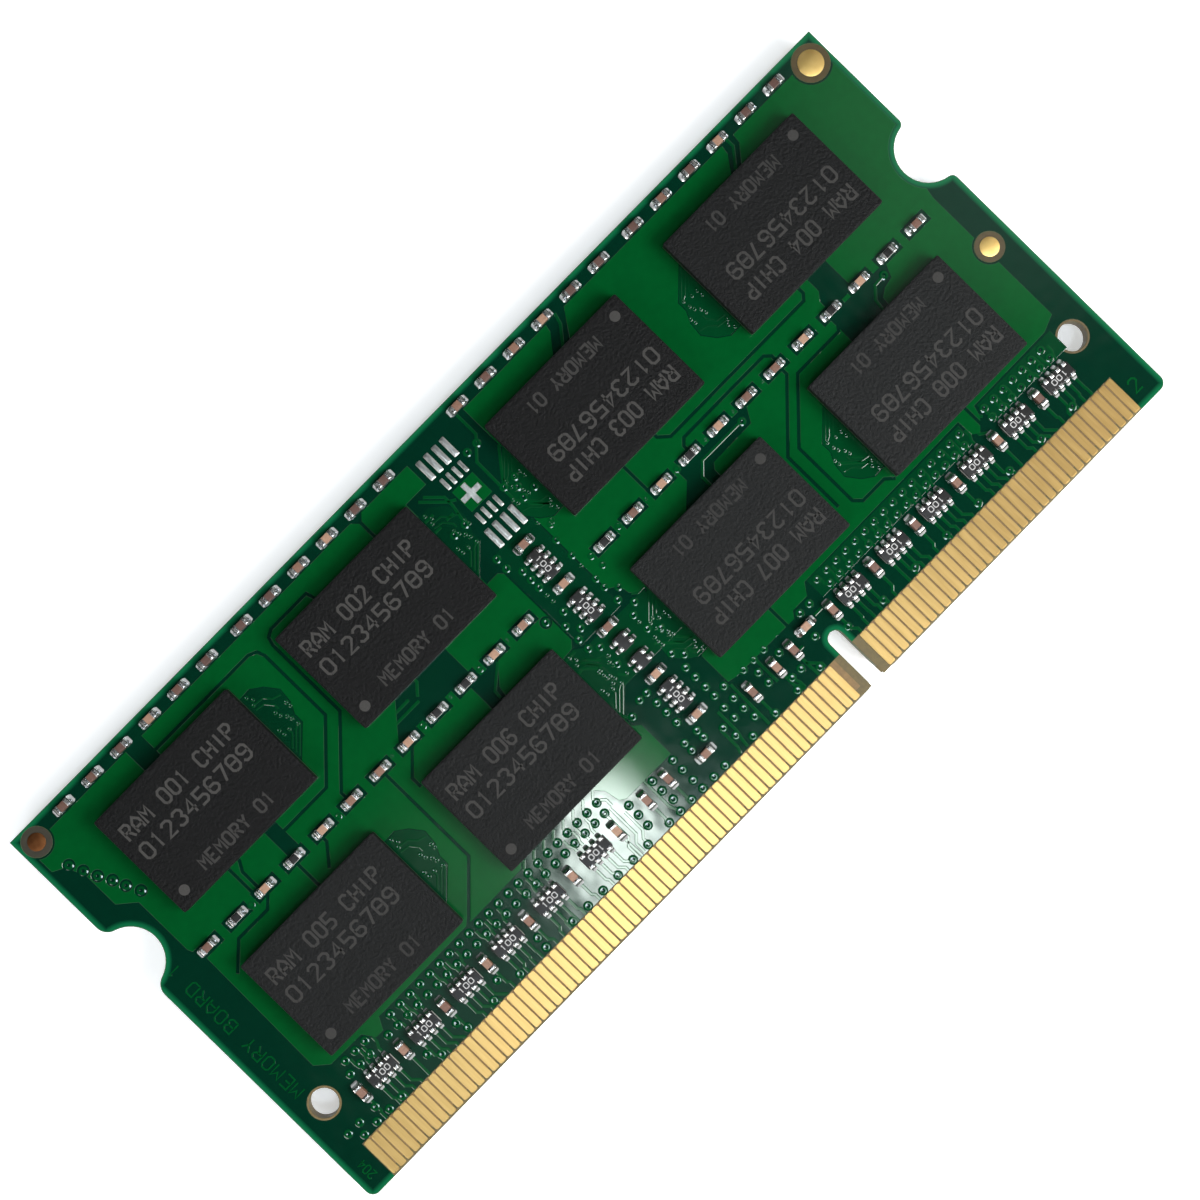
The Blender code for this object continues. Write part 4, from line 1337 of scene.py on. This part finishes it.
# %% The laminate between the contacts
KEY_GAP = rectangle((KEY_X - 0.52, -1.0), (KEY_X + 0.52, 3.0))
BARE_RISE = 0.008
bare_window = etched_sheet(
    [rectangle((1.84, 0.03), (65.42, 2.74))], [KEY_GAP, disc((41.9, -0.1), 0.02)],
    0.0, BARE_RISE, 0.02,
)
inner_layer = etched_sheet(
    [rectangle((1.95, 0.5), (41.8, 2.7)), rectangle((43.93, 0.5), (65.3, 2.7))], [],
    BARE_RISE / 2, BARE_RISE, 0.02, 0.35,
)
window = together([bare_window, inner_layer])
for side, carry in BOARD_FACES:
    add_piece(
        f"contact_window_{side}", carry(window), LAMINATE, sharp_degrees=10
    )

# %% [markdown]
# ## Lettering
# A laser writes a part's marks as thin strokes, so each sign is drawn as paths on a small
# grid and each path becomes a ribbon. Blender's text objects would do too, but strokes
# give the even line of the real marks. The words here are plain generic ones.

# %% A stroke alphabet on a grid 4 wide and 6 high
GRID_WIDTH, GRID_HEIGHT = 4, 6
ROUND = [(1, 0), (3, 0), (4, 1), (4, 5), (3, 6), (1, 6), (0, 5), (0, 1), (1, 0)]
GLYPHS = {
    "0": [ROUND],
    "1": [[(1, 5), (2, 6), (2, 0)]],
    "2": [[(0, 5), (1, 6), (3, 6), (4, 5), (4, 4), (0, 0), (4, 0)]],
    "3": [[(0, 5), (1, 6), (3, 6), (4, 5), (4, 4), (3, 3), (4, 2), (4, 1), (3, 0), (1, 0), (0, 1)]],
    "4": [[(3, 0), (3, 6), (0, 2), (4, 2)]],
    "5": [[(4, 6), (0, 6), (0, 3), (3, 3), (4, 2), (4, 1), (3, 0), (0, 0)]],
    "6": [[(4, 5), (3, 6), (1, 6), (0, 5), (0, 1), (1, 0), (3, 0), (4, 1), (4, 2), (3, 3), (0, 3)]],
    "7": [[(0, 6), (4, 6), (1.5, 0)]],
    "8": [ROUND, [(0.3, 3), (3.7, 3)]],
    "9": [[(0, 1), (1, 0), (3, 0), (4, 1), (4, 5), (3, 6), (1, 6), (0, 5), (0, 4), (1, 3), (4, 3)]],
    "A": [[(0, 0), (0, 4), (2, 6), (4, 4), (4, 0)], [(0, 2), (4, 2)]],
    "B": [
        [(0, 0), (0, 6), (3, 6), (4, 5), (4, 4), (3, 3), (4, 2), (4, 1), (3, 0), (0, 0)],
        [(0, 3), (3, 3)],
    ],
    "C": [[(4, 5), (3, 6), (1, 6), (0, 5), (0, 1), (1, 0), (3, 0), (4, 1)]],
    "D": [[(0, 0), (0, 6), (3, 6), (4, 5), (4, 1), (3, 0), (0, 0)]],
    "E": [[(4, 6), (0, 6), (0, 0), (4, 0)], [(0, 3), (3, 3)]],
    "H": [[(0, 0), (0, 6)], [(4, 0), (4, 6)], [(0, 3), (4, 3)]],
    "I": [[(2, 0), (2, 6)]],
    "M": [[(0, 0), (0, 6), (2, 3), (4, 6), (4, 0)]],
    "O": [ROUND],
    "P": [[(0, 0), (0, 6), (3, 6), (4, 5), (4, 4), (3, 3), (0, 3)]],
    "R": [[(0, 0), (0, 6), (3, 6), (4, 5), (4, 4), (3, 3), (0, 3)], [(2, 3), (4, 0)]],
    "Y": [[(0, 6), (2, 3), (2, 0)], [(2, 3), (4, 6)]],
}
GLYPH_SHARE = 0.68


def lettering(words, height, pitch, stroke, rise, base=0.0, start=(0.0, 0.0)):
    """Ribbons for a line of words whose lower left corner is at the start.

    A grid point (x, y) becomes (x times the sign's width / 4, y times the height / 6).
    """
    scale = (pitch * GLYPH_SHARE / GRID_WIDTH, height / GRID_HEIGHT)
    ribbons = [
        ribbon(np.array(path) * scale + start + (place * pitch, 0.0), stroke, rise, base)
        for place, sign in enumerate(words)
        if sign != " "
        for path in GLYPHS[sign]
    ]
    return together(ribbons)


def with_tone(shape, tone):
    """The same shape with one tone on every point."""
    return Shape(shape.points, shape.faces, tone)


print("signs in the alphabet:", len(GLYPHS))

# %% Legend on the lacquer
LEGEND_RISE = 0.022
words = lettering("MEMORY BOARD 1", 0.8, 0.78, 0.1, LEGEND_RISE, UNDER_LACQUER)
last_number = lettering("204", 0.55, 0.42, 0.08, LEGEND_RISE, UNDER_LACQUER)
legend = together([
    copies(with_tone(words, 0.75), [(1.78, 7.4, 0.0)], QUARTER_TURN),
    with_tone(lettering("2", 0.85, 0.8, 0.12, LEGEND_RISE, UNDER_LACQUER, (65.85, 0.9)), 0.85),
    copies(with_tone(last_number, 0.85), [(1.25, 0.9, 0.0)], QUARTER_TURN),
])
add_lacquered("legend_front", on_front(legend), sharp_degrees=30)

# %% [markdown]
# ## Memory chips
# Each chip is a black moulded cap over a thin laminate, and it stands on rows of solder
# balls. The cap's upper edge is faintly rounded where the saw and the mould release it.
# The cavity under the cap leaves room for the silicon die, which stays as packed.

# %% A chip's cap, laminate and balls
CHIP_SIZE = (11.0, 7.5)
CAP_HEIGHT = 0.6
# one row a loop: how far it is pulled in, its height; the first two make the die's cavity
CAP_PROFILE = (
    (1.29, 0.22), (1.29, 0.0), (0.0, 0.0), (0.0, 0.54),
    (0.018, 0.582), (0.06, CAP_HEIGHT), (0.2, CAP_HEIGHT),
)
BALL_HEIGHT = 0.25
cap = stacked_block(*CHIP_SIZE, 0.12, CAP_PROFILE)
slab = stacked_block(*CHIP_SIZE, 0.1, ((0.0, 0.0), (0.0, 0.12), (0.0, 0.24)))
ball_steps = np.linspace(0, 1, 5)
ball = turned(np.column_stack([0.15 + 0.08 * np.sin(np.pi * ball_steps), BALL_HEIGHT * ball_steps]), 10)
ball_x, ball_y = np.meshgrid(0.8 * np.arange(-6, 7), [-3.2, -2.4, -1.6, 1.6, 2.4, 3.2])
ball_grid = np.column_stack([ball_x.ravel(), ball_y.ravel()])
print("balls under a chip:", len(ball_grid))


# %% Standing parts on either face
def standing(shape, places, side, turns=0.0, tones=None, height=0.0):
    """Copies of a shape standing on the front face, or rolled over and standing on the back."""
    places = np.asarray(places, float).reshape(-1, 2)
    if side == "front":
        group = copies(shape, at_height(places, height), turns, tones)
        return Shape(group.points + FRONT_CORNER, group.faces, group.tone)
    group = copies(rolled(shape), at_height(places, -height), turns, tones)
    return Shape(group.points + BACK_CORNER, group.faces, group.tone)


ball_on_back = standing(ball, [(0.0, 0.0)], "back")
print(f"a ball on the back face hangs down to {ball_on_back.points[:, 2].min():.2f} mm")

# %% Marks that are etched into a chip
ETCH_RISE = 0.004
pin_mark = turned(((0.33, 0.0), (0.33, ETCH_RISE), (0.3, 0.005)), 28)
LAST_LINE = 0.65


def chip_words(number, strength):
    """The three etched lines on a chip, about the chip's centre; the last is etched lighter."""
    upper = together([
        lettering(f"RAM {number:03d} CHIP", 0.95, 0.75, 0.16, ETCH_RISE, 0.0, (-4.7, 1.45)),
        lettering("0123456789", 0.95, 0.89, 0.16, ETCH_RISE, 0.0, (-4.7, -0.1)),
        copies(pin_mark, [(-4.55, -2.78, 0.0)]),
    ])
    lower = lettering("MEMORY 01", 0.8, 0.66, 0.15, ETCH_RISE, 0.0, (-2.8, -2.9))
    return together([with_tone(upper, strength), with_tone(lower, strength * LAST_LINE)])


print("points in a chip's marks:", len(chip_words(1, 1.0).points))

# %% The sixteen chips
BALL_LIFT = 0.01
SLAB_LIFT = 0.26
CAP_LIFT = 0.51
# one row a chip: how far it is turned, how grey its mould is painted, how strong its marks are;
# the grey is painted light, a darker mould for the chips where less light falls
CHIP_LOOKS = (
    (0.0, 0.0, 1.0),
    (0.0, 0.0, 0.95),
    (math.pi, 0.0, 0.85),
    (math.pi, 0.35, 0.65),
    (0.0, 0.7, 0.6),
    (0.0, 0.7, 0.65),
    (math.pi, 0.9, 0.5),
    (math.pi, 1.0, 0.6),
)
for side, first in (("front", 1), ("back", 9)):
    spots = chip_spots(side=side)
    for number, (spot, (turn, mould_grey_painted_light, strength)) in enumerate(zip(spots, CHIP_LOOKS), 1):
        marks = chip_words(first + number - 1, strength)
        # the mould's tone carries the chip's painted light
        add_piece(
            f"mould_{side}_{number}", standing(cap, spot, side, turn, [mould_grey_painted_light], CAP_LIFT),
            MOULD, replaces=[f"chip_mould_{side}_{number}"],
        )
        add_piece(
            f"substrate_{side}_{number}", standing(slab, spot, side, turn, height=SLAB_LIFT),
            SUBSTRATE, replaces=[f"chip_substrate_{side}_{number}"],
        )
        add_piece(
            f"marks_{side}_{number}",
            standing(marks, spot, side, turn, height=CAP_LIFT + CAP_HEIGHT),
            ETCH,
        )
    ball_places = (spots[:, None] + ball_grid).reshape(-1, 2)
    balls = standing(ball, ball_places, side, height=BALL_LIFT)
    add_piece(f"balls_{side}", balls, SOLDER)
for number in range(1, 9):
    for side in ("front", "back"):
        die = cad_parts[f"silicon_die_{side}_{number}"]
        die.data.materials.clear()
        die.data.materials.append(SILICON)

# %% [markdown]
# ## Capacitors and resistors
# A chip capacitor is a ceramic brick with a tinned cap at each end, and solder climbs the
# caps in a hollow curve. A resistor is a white alumina plate with a black glass coat. An
# array holds several resistors in one plate, with terminals along both long sides.

# %% Solder fillets
SEAT = 0.02
# a fillet's section, as shares of its half width and of its height
FILLET_SECTION = ((-1.0, 0.0), (1.0, 0.0), (0.96, 0.7), (0.6, 1.0), (-0.6, 1.0), (-0.96, 0.7))


def fillet(stations):
    """Solder along X: the section grown to (half width, height) at each station's x."""
    return loft([
        [(x, across * half_width, up * height) for across, up in FILLET_SECTION]
        for x, height, half_width in stations
    ])


END_FILLET = (
    (0.30, 0.08, 0.27), (0.42, 0.17, 0.29), (0.49, 0.31, 0.285), (0.53, 0.25, 0.29),
    (0.59, 0.14, 0.285), (0.67, 0.07, 0.26), (0.75, 0.02, 0.2),
)
end_solder = copies(fillet(END_FILLET), np.zeros((2, 3)), (0.0, math.pi))
print("points in a part's solder:", len(end_solder.points))


# %% Capacitors and single resistors
def soft_brick(length, width, height, radius=0.03):
    """A block with small rounded corners and a rounded upper edge."""
    profile = (
        (0.0, 0.0), (0.0, height - radius), (radius * 0.3, height - radius * 0.3), (radius, height),
        (radius * 2.5, height + radius * 0.15),
    )
    return stacked_block(length, width, radius, profile)


capacitor_body = soft_brick(0.9, 0.46, 0.44, 0.02)
capacitor_caps = copies(soft_brick(0.26, 0.5, 0.475, 0.045), ((-0.37, 0, 0), (0.37, 0, 0)))
resistor_body = soft_brick(0.94, 0.48, 0.3, 0.02)
resistor_coat = copies(soft_brick(0.5, 0.46, 0.05, 0.02), [(0.0, 0.0, 0.285)])
resistor_caps = copies(soft_brick(0.24, 0.5, 0.33, 0.03), ((-0.38, 0, 0), (0.38, 0, 0)))
print("points in a capacitor:", len(capacitor_body.points) + len(capacitor_caps.points))

# %% Resistor arrays
TERMINAL_PITCH = 0.5
SIDE_FILLET = tuple((x + 0.02, h * 0.95, w * 0.6) for x, h, w in END_FILLET)


def array_shapes(count):
    """Body, coat, terminals and solder of an array with this many terminals a side."""
    length = count * TERMINAL_PITCH
    steps = (np.arange(count) - (count - 1) / 2) * TERMINAL_PITCH
    upper = np.column_stack([steps, np.full(count, 0.4), np.zeros(count)])
    lower = upper * (1, -1, 1)
    places = np.concatenate([upper, lower])
    body = soft_brick(length - 0.02, 0.84, 0.28, 0.02)
    coat = copies(soft_brick(length, 0.86, 0.07, 0.02), [(0.0, 0.0, 0.27)])
    caps = copies(soft_brick(0.29, 0.27, 0.355, 0.035), places)
    turns = np.repeat([QUARTER_TURN, -QUARTER_TURN], count)
    solder = copies(fillet(SIDE_FILLET), places * (1, 0, 1), turns)
    return body, coat, caps, solder


four_body, four_coat, four_caps, four_solder = array_shapes(4)
two_body, two_coat, two_caps, two_solder = array_shapes(2)
four_words = lettering("100", 0.32, 0.4, 0.06, ETCH_RISE, 0.345, (-0.54, -0.16))
print("points in a four-way array:", len(four_body.points) + len(four_caps.points))


# %% A layer of a row
def add_layer(name, side, groups, finish, slot, node):
    """One piece from several groups of the same material: (shape, places, turns, tones)."""
    shapes = [
        standing(shape, places, side, *settings, height=SEAT) for shape, places, *settings in groups
    ]
    add_piece(name, together(shapes), finish, replaces=[node])


# %% Edge row of capacitors
for side, _ in BOARD_FACES:
    node = f"edge_capacitors_{side}"
    bodies = [(capacitor_body, edge_places, 0.0, edge_tones)]
    add_layer(f"{node}_bodies", side, bodies, CERAMIC, "chip_capacitors", node)
    add_layer(f"{node}_caps", side, [(capacitor_caps, edge_places)], TIN, "chip_capacitors", node)
    add_layer(f"{node}_solder", side, [(end_solder, edge_places)], SOLDER, "solder", node)

# %% Middle row, with the column that crosses it
capacitors = np.concatenate([middle_places[is_capacitor], column_places])
capacitor_tones = np.concatenate([middle_tones[is_capacitor], column_tones])
resistors = middle_places[~is_capacitor]
two_ended = np.concatenate([capacitors, resistors])
fours = (column_fours, QUARTER_TURN)
twos = (column_twos, QUARTER_TURN)
# one row a layer: the name's ending, its groups, its finish, its slot
MIDDLE_LAYERS = (
    ("ceramic", [(capacitor_body, capacitors, 0.0, capacitor_tones)], CERAMIC, "chip_capacitors"),
    ("caps", [
        (capacitor_caps, capacitors), (resistor_caps, resistors),
        (four_caps, *fours), (two_caps, *twos),
    ], TIN, "chip_capacitors"),
    ("solder", [
        (end_solder, two_ended), (four_solder, *fours), (two_solder, *twos),
    ], SOLDER, "solder"),
    ("alumina", [
        (resistor_body, resistors), (four_body, *fours), (two_body, *twos),
    ], ALUMINA, "resistor_arrays"),
    ("coats", [
        (resistor_coat, resistors), (four_coat, *fours), (two_coat, *twos),
    ], GLASS, "resistor_arrays"),
    ("digits", [(four_words, column_fours, -QUARTER_TURN)], PRINT, "resistor_arrays"),
)
for side, _ in BOARD_FACES:
    for ending, *layer in MIDDLE_LAYERS:
        add_layer(f"middle_{side}_{ending}", side, *layer, f"middle_passives_{side}")

# %% Lower band of arrays and capacitors
digit_turns = np.where(np.arange(len(array_places)) < LEFT_ARRAYS, 0.0, math.pi)
uprights = (upright_places, QUARTER_TURN)
LOWER_LAYERS = (
    ("ceramic", [
        (capacitor_body, *uprights, upright_tones), (capacitor_body, lying_places, 0.0, lying_tones),
    ], CERAMIC, "chip_capacitors"),
    ("caps", [
        (capacitor_caps, *uprights), (capacitor_caps, lying_places), (four_caps, array_places),
    ], TIN, "chip_capacitors"),
    ("solder", [
        (end_solder, *uprights), (end_solder, lying_places), (four_solder, array_places),
    ], SOLDER, "solder"),
    ("alumina", [(four_body, array_places)], ALUMINA, "resistor_arrays"),
    ("coats", [(four_coat, array_places)], GLASS, "resistor_arrays"),
    ("digits", [(four_words, array_places, digit_turns)], PRINT, "resistor_arrays"),
)
for side, _ in BOARD_FACES:
    for ending, *layer in LOWER_LAYERS:
        add_layer(f"lower_{side}_{ending}", side, *layer, f"lower_resistor_arrays_{side}")

# %% [markdown]
# ## The small memory on the back
# A module carries a tiny chip that tells the computer what it is. It stands in the middle
# of the back face, with flat leadless contacts along two sides.

# %% Small memory
low, high = corners_of("eeprom_back")
small_spot = ((low + high) / 2 - BOARD_LOW)[:2]
small_length, small_width, small_height = high - low
small_cap = soft_brick(small_length, small_width - 0.1, small_height - 0.03, 0.04)
lead_steps = np.arange(4) * TERMINAL_PITCH - 0.75
leads = together([
    copies(soft_brick(0.25, 0.3, 0.2, 0.02), np.column_stack([lead_steps, np.full(4, y), np.zeros(4)]))
    for y in (-0.88, 0.88)
])
small_dot = turned(((0.16, 0.0), (0.16, ETCH_RISE), (0.14, 0.005)), 20)
small_dot = with_tone(small_dot, 1.0)
# one row a piece: the name's ending, its shape, its place and height, its finish and slot
SMALL_MEMORY = (
    ("cap", small_cap, small_spot, SEAT, MOULD, "mould_compound"),
    ("leads", leads, small_spot, 0.015, TIN, "solder"),
    ("dot", small_dot, small_spot - (1.1, 0.6), small_height - 0.005, ETCH, "mould_compound"),
)
for ending, shape, spot, height, finish, slot in SMALL_MEMORY:
    shape = standing(shape, spot, "back", height=height)
    add_piece(f"small_memory_{ending}", shape, finish, replaces=["eeprom_back"])
